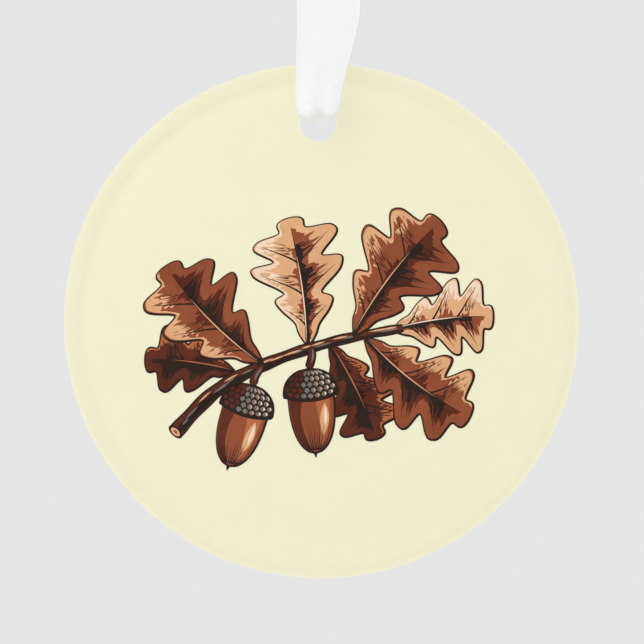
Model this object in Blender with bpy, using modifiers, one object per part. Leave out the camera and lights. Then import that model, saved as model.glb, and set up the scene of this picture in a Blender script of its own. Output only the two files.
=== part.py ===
"""Round hanging ornament: a clear acrylic disc, printed on its back, on a loop of satin ribbon.

Metres, +Z up. The origin is the place of the hook, in the top of the loop just under the knot.
The disc hangs below it with its front towards -Y, and swings about the axis of its hole.
"""

from math import cos, exp, pi, radians, sin, sqrt

import bmesh
import bpy
from mathutils import Euler, Vector

MM = 0.001

# Disc: a pillow slope and a round edge on its front, a small round on its flat back
DISC_RADIUS = 36.5 * MM
DISC_HALF = 1.6 * MM
PILLOW_START = 32.9 * MM
PILLOW_DROP = 0.35 * MM
PILLOW_CELLS = 6
FRONT_ROUND = 1.1 * MM
FRONT_ROUND_FROM = radians(72.0)
BACK_ROUND = 0.3 * MM
DISC_STEPS = 96

# Hole for the ribbon, rounded at both mouths
HOLE_RADIUS = 2.55 * MM
HOLE_ROUND = 0.35 * MM
HOLE_RISE = 28.0 * MM
HOLE_STEPS = 40
CUTTER_REACH = 1.0 * MM

# Ribbon loop
HANG_LENGTH = 72.0 * MM
RIBBON_WIDTH = 9.5 * MM
RIBBON_THICK = 0.35 * MM
CLEARANCE = 0.3 * MM
GATHER_AT_MOUTH = 0.44
GATHER_FADE = 9.6 * MM
HOOK_HALF_GAP = 1.35 * MM
BOW = 0.5 * MM
SIDE_DRIFT = 1.95 * MM
DRIFT_LOW = 2.0 * MM
DRIFT_HIGH = 20.0 * MM
STRAND_CELLS = (18, 48)
END_CROWDING = 0.72

# Ribbon across the hole in mm, with its edges rolled in: sideways, and down from the acrylic above
GATHER_MM = (
    (-0.85, 0.42),
    (-1.52, 0.78),
    (-1.90, 1.42),
    (-1.05, 2.10),
    (0.18, 1.22),
    (1.42, 1.80),
    (1.95, 1.25),
    (1.50, 0.70),
    (0.80, 0.42),
)

# Neck, where a strand narrows in pleats to enter the knot
NECK_LENGTH = 16.0 * MM
NECK_HALF_WIDTH = 2.4 * MM
NECK_PLEAT = 0.55 * MM
NECK_OFFSET = 0.7 * MM
NECK_WAVES = 3

# Knot: half sizes of its core and of the two turns over it, and how round each lump is
KNOT_LOW = 3.5 * MM
CORE_HALF = (3.2 * MM, 1.9 * MM, 3.9 * MM)
CORE_ROUNDNESS = 0.7
TURN_HALVES = ((4.3 * MM, 2.55 * MM, 1.75 * MM), (4.2 * MM, 2.25 * MM, 1.7 * MM))
TURN_TILTS = (radians(34.0), radians(-38.0))
TURN_ROUNDNESS = 0.42
LUMP_CELLS = (28, 14)

# Tails, the free ends above the knot
TAIL_LENGTH = 13.0 * MM
TAIL_FOOT = (1.0 * MM, 0.8 * MM)
TAIL_FOOT_HALF_WIDTH = 1.9 * MM
TAIL_OPEN_START = 0.25
TAIL_OPEN_RATE = 1.1
TAIL_SPREAD = radians(30.0)
TAIL_LEAN_START = 0.15
TAIL_TWIST_LENGTH = 4.0 * MM
TAIL_CUT = 3.2 * MM
TAIL_CURL = 3.5 * MM
TAIL_PLEAT = 0.5 * MM
TAIL_CELLS = (8, 12)

HOLE_Z = -HANG_LENGTH
DISC_Z = HOLE_Z - HOLE_RISE
KNOT_Z = KNOT_LOW + CORE_HALF[2]
STRAND_TOP = KNOT_LOW - CLEARANCE
RIM_CLEAR_Z = DISC_Z + DISC_RADIUS + 2.0 * MM

# The ribbon's middle surface keeps this far from the disc, and bends round the hole's mouth
STANDOFF = CLEARANCE + RIBBON_THICK / 2.0
FACE_REACH = DISC_HALF + STANDOFF
BEND_RADIUS = HOLE_ROUND + STANDOFF
BEND_DEPTH = DISC_HALF - HOLE_ROUND
BEND_RISE = HOLE_RADIUS + HOLE_ROUND
BEND_END = BEND_DEPTH + BEND_RADIUS * pi / 2.0
STRAND_LENGTH = BEND_END + STRAND_TOP - (HOLE_Z + BEND_RISE)
STRAND_START = CLEARANCE / 2.0


def clear_scene():
    """Remove what the scene holds."""
    for old in list(bpy.data.objects):
        bpy.data.objects.remove(old, do_unlink=True)


def make_collection(name):
    """Add a collection to the scene."""
    group = bpy.data.collections.new(name)
    bpy.context.scene.collection.children.link(group)
    return group


def make_material(name, colour, roughness):
    """Plain Principled material, not a metal."""
    material = bpy.data.materials.new(name)
    material.use_nodes = True
    shader = material.node_tree.nodes["Principled BSDF"]
    shader.inputs["Base Color"].default_value = (*colour, 1.0)
    shader.inputs["Roughness"].default_value = roughness
    shader.inputs["Metallic"].default_value = 0.0
    return material


def add_object(name, mesh, group, material=None):
    """Put a mesh in a collection as a named object."""
    thing = bpy.data.objects.new(name, mesh)
    if material is not None:
        mesh.materials.append(material)
    group.objects.link(thing)
    return thing


def mark_as_cutter(thing):
    """Show a cutter or a tool body as a wire only."""
    thing.hide_render = True
    thing.display_type = "WIRE"


def add_boolean(target, tool, operation):
    """Cut or join a tool body with a target."""
    modifier = target.modifiers.new(operation.title(), "BOOLEAN")
    modifier.operation = operation
    modifier.solver = "EXACT"
    modifier.object = tool


def ease(t):
    """Smooth step from 0 to 1."""
    t = min(max(t, 0.0), 1.0)
    return t * t * (3.0 - 2.0 * t)


def mix(a, b, t):
    """Value between a and b."""
    return a + (b - a) * t


def arc_points(centre, radius, start, end, cells):
    """Points of an arc in the plane of a turned profile, both ends included."""
    turns = [mix(start, end, i / cells) for i in range(cells + 1)]
    return [(centre[0] + radius * cos(a), centre[1] + radius * sin(a)) for a in turns]


def disc_profile():
    """Half section of the disc: flat face, pillow slope, round edge, flat back."""
    slope_end = DISC_RADIUS - FRONT_ROUND
    face = [(0.0, DISC_HALF)]
    for i in range(PILLOW_CELLS + 1):
        t = i / PILLOW_CELLS
        face.append((mix(PILLOW_START, slope_end, t), DISC_HALF - PILLOW_DROP * t * t))
    front_centre = (slope_end, DISC_HALF - PILLOW_DROP - FRONT_ROUND)
    front = arc_points(front_centre, FRONT_ROUND, FRONT_ROUND_FROM, 0.0, 7)
    back_centre = (DISC_RADIUS - BACK_ROUND, BACK_ROUND - DISC_HALF)
    back = arc_points(back_centre, BACK_ROUND, 0.0, -pi / 2.0, 4)
    return face + front + back + [(0.0, -DISC_HALF)]


def hole_profile():
    """Half section of the hole's cutter, which flares at both mouths."""
    flare = HOLE_RADIUS + HOLE_ROUND
    reach = DISC_HALF + CUTTER_REACH
    upper = arc_points((flare, DISC_HALF - HOLE_ROUND), HOLE_ROUND, pi / 2.0, pi, 4)
    lower = [(r, -z) for r, z in reversed(upper)]
    return [(0.0, reach), (flare, reach)] + upper + lower + [(flare, -reach), (0.0, -reach)]


def turn_profile(name, profile, steps, group, material=None):
    """Turn a profile about its own Z axis, which then points at the front, -Y."""
    mesh = bpy.data.meshes.new(name)
    points = [(r, 0.0, z) for r, z in profile]
    mesh.from_pydata(points, [(i, i + 1) for i in range(len(points) - 1)], [])
    turned = add_object(name, mesh, group, material)
    turned.rotation_euler = Euler((pi / 2.0, 0.0, 0.0))
    screw = turned.modifiers.new("Turn", "SCREW")
    screw.axis = "Z"
    screw.angle = 2.0 * pi
    screw.steps = steps
    screw.render_steps = steps
    screw.use_merge_vertices = True
    screw.merge_threshold = 0.00001
    screw.use_smooth_shade = True
    return turned


def build_disc(group, cutters, swing_axis):
    """Acrylic disc with its hole, hung from an empty on the hole's axis."""
    acrylic = make_material("printed_acrylic", (0.87, 0.85, 0.61), 0.05)
    disc = turn_profile("acrylic_disc", disc_profile(), DISC_STEPS, group, acrylic)
    disc.parent = swing_axis
    disc.location = (0.0, 0.0, -HOLE_RISE)
    cutter = turn_profile("hole_cutter", hole_profile(), HOLE_STEPS, cutters)
    cutter.location = (0.0, 0.0, HOLE_Z)
    mark_as_cutter(cutter)
    add_boolean(disc, cutter, "DIFFERENCE")


def spline_point(points, t):
    """Point of a Catmull-Rom curve through the points, for t from 0 to 1."""
    last = len(points) - 1
    place = min(max(t, 0.0), 1.0) * last
    i = min(int(place), last - 1)
    f = place - i
    before, start, end, after = (points[min(max(k, 0), last)] for k in range(i - 1, i + 3))
    return tuple(
        b + 0.5 * f * (c - a + f * (2.0 * a - 5.0 * b + 4.0 * c - d + f * (3.0 * (b - c) + d - a)))
        for a, b, c, d in zip(before, start, end, after)
    )


def gather_amount(along):
    """How far the ribbon is gathered: 1 in the hole, fading up the strand."""
    if along < BEND_END:
        return mix(1.0, GATHER_AT_MOUTH, ease((along - BEND_DEPTH) / (BEND_END - BEND_DEPTH)))
    return GATHER_AT_MOUTH * exp(-(((along - BEND_END) / GATHER_FADE) ** 2))


def drift(z):
    """Sideways lean of the strands, to the right above the hole and back at the knot."""
    rise = z - HOLE_Z
    out = ease((rise - DRIFT_LOW) / (DRIFT_HIGH - DRIFT_LOW))
    back = ease((rise - DRIFT_HIGH) / (HANG_LENGTH - DRIFT_HIGH))
    return SIDE_DRIFT * out * (1.0 - back)


def strand_reach(z):
    """Distance of a strand's inner line from the plane between the two strands."""
    if z > 0.0:
        return mix(HOOK_HALF_GAP, NECK_OFFSET, ease(z / STRAND_TOP))
    t = max(z - RIM_CLEAR_Z, 0.0) / -RIM_CLEAR_Z
    return mix(FACE_REACH, HOOK_HALF_GAP, ease(t)) + BOW * sin(pi * t) ** 2


def keep_clear(x, reach, z):
    """Pull a point of the ribbon in towards the hole's axis where it would touch the acrylic."""
    depth = max(reach - BEND_DEPTH, 0.0)
    if depth >= BEND_RADIUS or z > HOLE_Z + BEND_RISE:
        return x, reach, z
    radius = sqrt(x * x + (z - HOLE_Z) ** 2)
    limit = BEND_RISE - sqrt(BEND_RADIUS ** 2 - depth ** 2)
    scale = min(1.0, limit / max(radius, limit))
    return x * scale, reach, HOLE_Z + (z - HOLE_Z) * scale


def strand_point(side, across, along):
    """Point of a strand's middle surface; side is -1 in front and 1 behind.

    across runs from -1 to 1 over the width, and along is the distance from the
    middle of the hole on the ribbon's inner line.
    """
    turn = min(max((along - BEND_DEPTH) / BEND_RADIUS, 0.0), pi / 2.0)
    z = HOLE_Z + BEND_RISE - BEND_RADIUS * cos(turn) + max(along - BEND_END, 0.0)
    reach = min(along, BEND_DEPTH) + BEND_RADIUS * sin(turn)
    if along > BEND_END:
        reach = strand_reach(z)
    fold_x, fold_out = (MM * value for value in spline_point(GATHER_MM, (across + 1.0) / 2.0))
    gather = gather_amount(along)
    neck = ease((z - STRAND_TOP) / NECK_LENGTH + 1.0)
    pleat = NECK_PLEAT * (0.5 - 0.5 * cos(NECK_WAVES * pi * (across + 1.0)))
    x = mix(RIBBON_WIDTH / 2.0 * across, fold_x, gather)
    x = mix(x, NECK_HALF_WIDTH * across, neck) + drift(z)
    out = gather * fold_out + neck * pleat
    x, reach, z = keep_clear(x, reach + out * sin(turn), z - out * cos(turn))
    return Vector((x, side * reach, z))


def add_sheet(name, cells, place, group, material):
    """Ribbon sheet: a grid laid by place(u, v) with u and v from 0 to 1, then made thick."""
    sheet = bmesh.new()
    bmesh.ops.create_grid(sheet, x_segments=cells[0], y_segments=cells[1], size=1.0)
    for vertex in sheet.verts:
        vertex.co = place((vertex.co.x + 1.0) / 2.0, (vertex.co.y + 1.0) / 2.0)
    bmesh.ops.triangulate(sheet, faces=sheet.faces[:])
    mesh = bpy.data.meshes.new(name)
    sheet.to_mesh(mesh)
    sheet.free()
    mesh.shade_smooth()
    ribbon = add_object(name, mesh, group, material)
    thicken = ribbon.modifiers.new("Thickness", "SOLIDIFY")
    thicken.thickness = RIBBON_THICK
    thicken.offset = 0.0


def build_strand(name, side, group, material):
    """One strand, from the middle of the hole, round its mouth and up to the knot."""

    def place(u, v):
        crowded = v - END_CROWDING * sin(2.0 * pi * v) / (2.0 * pi)
        return strand_point(side, 2.0 * u - 1.0, mix(STRAND_START, STRAND_LENGTH, crowded))

    add_sheet(name, STRAND_CELLS, place, group, material)


def build_tail(name, side, group, material):
    """Free end above the knot, which opens to full width and is cut on a slant."""
    foot = Vector((side * TAIL_FOOT[0], side * TAIL_FOOT[1], KNOT_Z + CORE_HALF[2] + CLEARANCE))

    def place(u, v):
        across = 2.0 * u - 1.0
        cut = TAIL_CUT * (0.5 + 0.5 * side * across)
        length = v * (TAIL_LENGTH - cut * v)
        part = length / TAIL_LENGTH
        opening = ease(TAIL_OPEN_START + TAIL_OPEN_RATE * part)
        half = across * mix(TAIL_FOOT_HALF_WIDTH, RIBBON_WIDTH / 2.0, opening)
        lean = TAIL_SPREAD * ease(TAIL_LEAN_START + part)
        twist = ease(length / TAIL_TWIST_LENGTH)
        pleat = (1.0 - opening) * TAIL_PLEAT * cos(2.0 * pi * across)
        x = side * sin(lean) * length + half * cos(lean)
        y = side * (TAIL_CURL * part * part + pleat)
        z = cos(lean) * length - side * half * sin(lean) * twist
        return foot + Vector((x, y, z))

    add_sheet(name, TAIL_CELLS, place, group, material)


def add_lump(name, half, roundness, group, material=None):
    """Closed lump at the knot's centre: an ellipsoid at roundness 1, a round-edged puck below."""
    lump = bmesh.new()
    bmesh.ops.create_uvsphere(lump, u_segments=LUMP_CELLS[0], v_segments=LUMP_CELLS[1], radius=1.0)
    for vertex in lump.verts:
        spoke = Vector((vertex.co.x, vertex.co.y))
        if spoke.length > 1e-6:
            spoke *= spoke.length ** (roundness - 1.0)
        rise = abs(vertex.co.z) ** roundness
        rise = rise if vertex.co.z > 0.0 else -rise
        vertex.co = Vector((spoke.x * half[0], spoke.y * half[1], rise * half[2]))
    mesh = bpy.data.meshes.new(name)
    lump.to_mesh(mesh)
    lump.free()
    mesh.shade_smooth()
    thing = add_object(name, mesh, group, material)
    thing.location = (0.0, 0.0, KNOT_Z)
    return thing


def build_knot(group, cutters, material):
    """Knot of the doubled ribbon: a flattened core with two turns that cross over it."""
    knot = add_lump("ribbon_knot", CORE_HALF, CORE_ROUNDNESS, group, material)
    for half, tilt in zip(TURN_HALVES, TURN_TILTS):
        turn = add_lump("knot_turn", half, TURN_ROUNDNESS, cutters)
        turn.rotation_euler = Euler((0.0, tilt, 0.0))
        mark_as_cutter(turn)
        add_boolean(knot, turn, "UNION")


def build_ornament():
    """Build every piece."""
    clear_scene()
    group = make_collection("hanging_ornament")
    cutters = make_collection("cutters")
    swing_axis = bpy.data.objects.new("disc_swing_axis", None)
    swing_axis.location = (0.0, 0.0, HOLE_Z)
    swing_axis.empty_display_size = HOLE_RADIUS
    group.objects.link(swing_axis)
    build_disc(group, cutters, swing_axis)
    satin = make_material("white_satin", (0.90, 0.91, 0.90), 0.45)
    build_strand("ribbon_front", -1.0, group, satin)
    build_strand("ribbon_back", 1.0, group, satin)
    build_knot(group, cutters, satin)
    build_tail("ribbon_tail_left", -1.0, group, satin)
    build_tail("ribbon_tail_right", 1.0, group, satin)


build_ornament()
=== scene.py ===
"""Looks of a round hanging ornament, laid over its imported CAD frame.

A clear acrylic disc, printed on its back, hangs on a loop of white satin ribbon.
Lengths are in metres, most of them written as millimetres times MM. The frame's
origin is the hook's place in the top of the loop, +Z is up, and the disc's front
faces -Y.
"""

import logging
from collections.abc import Callable, Iterator, Sequence
from dataclasses import dataclass, field
from enum import Enum
from math import atan2, cos, exp, hypot, pi, radians, sin, sqrt
from random import Random

import bmesh
import bpy
import numpy as np
from mathutils import Matrix, Vector
from mathutils.geometry import delaunay_2d_cdt, tessellate_polygon


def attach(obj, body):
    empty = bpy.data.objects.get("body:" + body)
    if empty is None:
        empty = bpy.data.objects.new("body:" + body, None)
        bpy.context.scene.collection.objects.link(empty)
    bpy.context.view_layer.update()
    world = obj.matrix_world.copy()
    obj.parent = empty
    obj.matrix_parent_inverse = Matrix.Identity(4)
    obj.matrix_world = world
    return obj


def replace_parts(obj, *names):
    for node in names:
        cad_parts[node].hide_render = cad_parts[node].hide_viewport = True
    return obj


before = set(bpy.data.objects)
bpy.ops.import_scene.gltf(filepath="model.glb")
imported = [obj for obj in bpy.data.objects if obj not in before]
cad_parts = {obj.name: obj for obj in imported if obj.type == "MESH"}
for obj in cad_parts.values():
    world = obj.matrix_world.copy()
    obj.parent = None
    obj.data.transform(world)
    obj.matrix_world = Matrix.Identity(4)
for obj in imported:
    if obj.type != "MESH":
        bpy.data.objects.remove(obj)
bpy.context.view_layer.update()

LOG = logging.getLogger("hanging_ornament")
MM = 0.001
TINY = 1e-9

Point = tuple[float, float]
Colour = tuple[float, float, float, float]


def ease(t: float) -> float:
    """Smooth step from 0 to 1."""
    t = min(max(t, 0.0), 1.0)
    return t * t * (3.0 - 2.0 * t)


def mix(a: float, b: float, t: float) -> float:
    """Value between a and b."""
    return a + (b - a) * t


def spline_point(points: Sequence[Sequence[float]], t: float) -> tuple[float, ...]:
    """Point of a Catmull-Rom curve.

    Args:
        points: The points that the curve goes through.
        t: Place on the curve, from 0 at its start to 1 at its end.

    Returns:
        The point, with as many numbers as those given.
    """
    last = len(points) - 1
    place = min(max(t, 0.0), 1.0) * last
    i = min(int(place), last - 1)
    f = place - i
    before, start, end, after = (points[min(max(k, 0), last)] for k in range(i - 1, i + 3))
    return tuple(
        b + 0.5 * f * (c - a + f * (2.0 * a - 5.0 * b + 4.0 * c - d + f * (3.0 * (b - c) + d - a)))
        for a, b, c, d in zip(before, start, end, after)
    )


def arc_points(centre: Point, radius: float, start: float, end: float, cells: int) -> list[Point]:
    """Points of an arc in the plane of a turned profile, both ends included."""
    turns = [mix(start, end, i / cells) for i in range(cells + 1)]
    return [(centre[0] + radius * cos(a), centre[1] + radius * sin(a)) for a in turns]


def linear(hex_colour: str) -> Colour:
    """Linear colour of an sRGB hex value.

    Args:
        hex_colour: The colour as a hash sign and six hex digits.

    Returns:
        Red, green and blue as linear light, and an alpha of 1.
    """
    channels = [int(hex_colour[i:i + 2], 16) / 255.0 for i in (1, 3, 5)]
    r, g, b = (c / 12.92 if c <= 0.04045 else ((c + 0.055) / 1.055) ** 2.4 for c in channels)
    return r, g, b, 1.0


def add_node(
    tree: bpy.types.NodeTree,
    kind: str,
    inputs: dict[str | int, object] | None = None,
    stops: Sequence[Point] = (),
    **settings: object,
) -> bpy.types.Node:
    """Add a node with its settings, values and links.

    Args:
        tree: The node tree that gets the node.
        kind: Blender's type name of the node.
        inputs: For each input's name or number, a value or the output socket that feeds it.
        stops: For a colour ramp, the place and the grey tone of each stop.
        **settings: The node's own settings, such as operation.

    Returns:
        The new node.
    """
    node = tree.nodes.new(kind)
    for name, value in settings.items():
        setattr(node, name, value)
    for name, value in (inputs or {}).items():
        if isinstance(value, bpy.types.NodeSocket):
            tree.links.new(value, node.inputs[name])
        else:
            node.inputs[name].default_value = value
    elements = node.color_ramp.elements if stops else []
    while len(elements) < len(stops):
        elements.new(0.5)
    for element, (place, tone) in zip(elements, stops):
        element.position = place
        element.color = (tone, tone, tone, 1.0)
    return node


def add_mesh(
    name: str,
    points: Sequence[Sequence[float]],
    faces: Sequence[Sequence[int]],
    smooth: bool = True,
) -> bpy.types.Object:
    """Make a mesh object in the row frame.

    Args:
        name: The object's name.
        points: Corners, in metres.
        faces: Corner numbers of each face.
        smooth: Whether the faces are shaded smooth.

    Returns:
        The new object.
    """
    mesh = bpy.data.meshes.new(name)
    mesh.from_pydata([tuple(p) for p in points], [], [tuple(f) for f in faces])
    if smooth:
        mesh.shade_smooth()
    thing = bpy.data.objects.new(name, mesh)
    bpy.context.scene.collection.objects.link(thing)
    return thing


def add_uv(thing: bpy.types.Object, name: str, places: Sequence[Point]) -> None:
    """Give a mesh a UV map from one place for each vertex.

    Args:
        thing: The mesh object.
        name: The map's name.
        places: A pair of numbers for each vertex.
    """
    layer = thing.data.uv_layers.new(name=name)
    corners = np.zeros(len(thing.data.loops), dtype=np.int32)
    thing.data.loops.foreach_get("vertex_index", corners)
    layer.data.foreach_set("uv", np.array(places, dtype=np.float32)[corners].ravel())


@dataclass(frozen=True)
class TurnedPlate:
    """Round plate with an edge and a hole, both turned from their sections.

    Sections run from the front face to the back. Their points hold a distance from the
    axis and a height towards the viewer.
    """

    centre_z: float
    hole_rise: float
    edge: Sequence[Point]
    hole: Sequence[Point]
    steps: int = 288
    hole_steps: int = 96

    def ring(self, radius: float, height: float, rise: float, steps: int) -> list[Vector]:
        """Corners of one ring round the plate's axis or, with a rise, the hole's.

        Args:
            radius: The ring's radius.
            height: Its height towards the viewer.
            rise: Height of its middle above the plate's axis.
            steps: Number of its corners.

        Returns:
            The corners in the row frame, counterclockwise for the viewer.
        """
        turns = [2.0 * pi * i / steps for i in range(steps)]
        z = self.centre_z + rise
        return [Vector((radius * cos(a), -height, z + radius * sin(a))) for a in turns]

    def build(self, name: str) -> bpy.types.Object:
        """Build the closed plate.

        Args:
            name: The object's name.

        Returns:
            The plate, with all its faces turned outward.
        """
        points: list[Vector] = []
        faces: list[tuple[int, ...]] = []
        rims = []
        walls = ((self.edge, 0.0, self.steps), (self.hole, self.hole_rise, self.hole_steps))
        for profile, rise, steps in walls:
            rings = []
            for radius, height in profile:
                rings.append(range(len(points), len(points) + steps))
                points += self.ring(radius, height, rise, steps)
            for one, two in zip(rings, rings[1:]):
                for i in range(steps):
                    k = (i + 1) % steps
                    faces.append((one[i], two[i], two[k], one[k]))
            rims.append((rings[0], rings[-1]))
        for outer, inner in zip(*rims):
            corners = [*outer, *inner]
            loops = [[(points[i].x, points[i].z, 0.0) for i in loop] for loop in (outer, inner)]
            faces += [tuple(corners[i] for i in face) for face in tessellate_polygon(loops)]
        plate = add_mesh(name, points, faces)
        work = bmesh.new()
        work.from_mesh(plate.data)
        bmesh.ops.recalc_face_normals(work, faces=work.faces[:])
        work.to_mesh(plate.data)
        work.free()
        return plate


class Body(Enum):
    """Bodies of the frame that the pieces ride on."""

    RIBBON = "ribbon"
    DISC = "disc"


class Slot(Enum):
    """Material slots of the record."""

    ACRYLIC = "acrylic"
    SATIN = "satin_ribbon"
    GROUND = "printed_ground"
    INK = "printed_ink"


@dataclass(frozen=True)
class Finish:
    """Base of the finishes: a named material, made at its first use."""

    name: str

    def material(self) -> bpy.types.Material:
        """Material of this finish.

        Returns:
            The material, which all the pieces with this finish share.
        """
        found = bpy.data.materials.get(self.name)
        if found is None:
            found = bpy.data.materials.new(self.name)
            found.use_nodes = True
            self.shade(found.node_tree, found.node_tree.nodes["Principled BSDF"])
        return found

    def shade(self, tree: bpy.types.NodeTree, shader: bpy.types.Node) -> None:
        """Set the shader's values and add the pattern nodes."""
        raise NotImplementedError


@dataclass(frozen=True)
class CastAcrylic(Finish):
    """Clear cast acrylic sheet (PMMA), cut round and flame polished.

    It is clear as water over the print, with a faint mirror on its face and a bright line
    where its edge turns. Casting leaves a slow ripple, about 1 cm from crest to crest.
    Handling leaves scuffs, which are too fine to show one by one, so they are drawn as
    duller patches of 1.6 mm.
    """

    name: str = "clear_cast_acrylic"
    body: str = "#FEFEFC"
    ior: float = 1.49
    roughness: tuple[float, float] = (0.012, 0.04)
    ripple_mm: float = 11.0
    ripple_rise: float = 0.0008 * MM
    scuff_mm: float = 1.6
    scuff_span: Point = (0.45, 0.75)

    def shade(self, tree: bpy.types.NodeTree, shader: bpy.types.Node) -> None:
        """Clear glass-like body, with scuffs in its roughness and a ripple in its surface.

        Args:
            tree: The material's node tree.
            shader: Its surface shader.
        """
        shader.inputs["Base Color"].default_value = linear(self.body)
        shader.inputs["IOR"].default_value = self.ior
        shader.inputs["Transmission Weight"].default_value = 1.0
        place = add_node(tree, "ShaderNodeTexCoord").outputs["Object"]
        scuffs = add_node(
            tree,
            "ShaderNodeTexNoise",
            {"Vector": place, "Scale": 1.0 / (self.scuff_mm * MM), "Detail": 3.0, "Roughness": 0.7},
        )
        rough = add_node(
            tree,
            "ShaderNodeMapRange",
            {
                "Value": scuffs.outputs["Fac"],
                "From Min": self.scuff_span[0],
                "From Max": self.scuff_span[1],
                "To Min": self.roughness[0],
                "To Max": self.roughness[1],
            },
        )
        tree.links.new(rough.outputs["Result"], shader.inputs["Roughness"])
        ripple = add_node(
            tree,
            "ShaderNodeTexNoise",
            {"Vector": place, "Scale": 1.0 / (self.ripple_mm * MM), "Detail": 0.0},
        )
        bump = add_node(
            tree,
            "ShaderNodeBump",
            {"Height": ripple.outputs["Fac"], "Distance": self.ripple_rise, "Strength": 1.0},
        )
        tree.links.new(bump.outputs["Normal"], shader.inputs["Normal"])


@dataclass(frozen=True)
class PrintedInk(Finish):
    """UV-cured ink, jetted on the back of the acrylic in one tone.

    The acrylic wets it, so it has no gloss of its own. The tone drifts a little over each
    3.2 mm or so, from pass to pass of the print head, and has the fine grain of the
    jetted drops. Real drops lie 0.04 mm apart, too fine to show, so they are drawn at
    0.22 mm.
    """

    colour: str = "#FFFFFF"
    second: str = "#FFFFFF"
    drift_mm: float = 3.2
    grain_mm: float = 0.22
    grain_share: float = 0.18
    tone_span: Point = (0.36, 0.64)
    roughness: float = 0.6
    specular: float = 0.0

    def shade(self, tree: bpy.types.NodeTree, shader: bpy.types.Node) -> None:
        """Matt tone between two near colours, by a slow drift and a fine grain.

        Args:
            tree: The material's node tree.
            shader: Its surface shader.
        """
        shader.inputs["Roughness"].default_value = self.roughness
        shader.inputs["Specular IOR Level"].default_value = self.specular
        place = add_node(tree, "ShaderNodeTexCoord").outputs["Object"]
        drift = add_node(
            tree,
            "ShaderNodeTexNoise",
            {"Vector": place, "Scale": 1.0 / (self.drift_mm * MM), "Detail": 2.0},
        )
        grain = add_node(
            tree,
            "ShaderNodeTexNoise",
            {"Vector": place, "Scale": 1.0 / (self.grain_mm * MM), "Detail": 0.0},
        )
        share = add_node(
            tree,
            "ShaderNodeMix",
            {0: self.grain_share, 2: drift.outputs["Fac"], 3: grain.outputs["Fac"]},
            data_type="FLOAT",
        )
        spread = add_node(
            tree,
            "ShaderNodeMapRange",
            {
                "Value": share.outputs[0],
                "From Min": self.tone_span[0],
                "From Max": self.tone_span[1],
            },
        )
        tone = add_node(
            tree,
            "ShaderNodeMix",
            {0: spread.outputs["Result"], 6: linear(self.colour), 7: linear(self.second)},
            data_type="RGBA",
        )
        tree.links.new(self.toned(tree, place, tone.outputs[2]), shader.inputs["Base Color"])

    def toned(
        self, tree: bpy.types.NodeTree, place: bpy.types.NodeSocket, colour: bpy.types.NodeSocket
    ) -> bpy.types.NodeSocket:
        """Colour after any change by place; plain ink has none."""
        return colour


@dataclass(frozen=True)
class PrintedGround(PrintedInk):
    """Pale flood coat of UV-cured ink over the whole back of the disc.

    Where the edge slopes it spreads the light that enters, so that the ground shows a
    faint darker ring there, with a lighter one inside it. Straight light through the
    disc can't show them, so they are drawn in the ink's tone.
    """

    centre: tuple[float, float, float] = (0.0, 0.0, -100.0)
    rim_tones: tuple[Point, ...] = (
        (30.5, 0.960),
        (32.4, 0.970),
        (33.3, 0.962),
        (34.1, 0.948),
        (34.6, 0.946),
        (35.1, 0.947),
        (35.5, 0.938),
        (36.0, 0.925),
    )
    full_mm: float = 40.0

    def toned(
        self, tree: bpy.types.NodeTree, place: bpy.types.NodeSocket, colour: bpy.types.NodeSocket
    ) -> bpy.types.NodeSocket:
        """Colour with the rings near the edge, by the distance from the disc's axis.

        Args:
            tree: The material's node tree.
            place: Output socket of the place on the piece.
            colour: Output socket of the ink's plain colour.

        Returns:
            Output socket of the toned colour.
        """
        flat = add_node(
            tree,
            "ShaderNodeVectorMath",
            {0: place, 1: (1.0 / MM, 0.0, 1.0 / MM)},
            operation="MULTIPLY",
        )
        radius = add_node(
            tree,
            "ShaderNodeVectorMath",
            {0: flat.outputs[0], 1: self.centre},
            operation="DISTANCE",
        )
        share = add_node(
            tree,
            "ShaderNodeMath",
            {0: radius.outputs["Value"], 1: self.full_mm},
            operation="DIVIDE",
        )
        stops = [(distance / self.full_mm, tone) for distance, tone in self.rim_tones]
        ramp = add_node(tree, "ShaderNodeValToRGB", {"Fac": share.outputs[0]}, stops)
        toned = add_node(
            tree,
            "ShaderNodeMix",
            {0: 1.0, 6: colour, 7: ramp.outputs["Color"]},
            data_type="RGBA",
            blend_type="MULTIPLY",
        )
        return toned.outputs[2]


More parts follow.
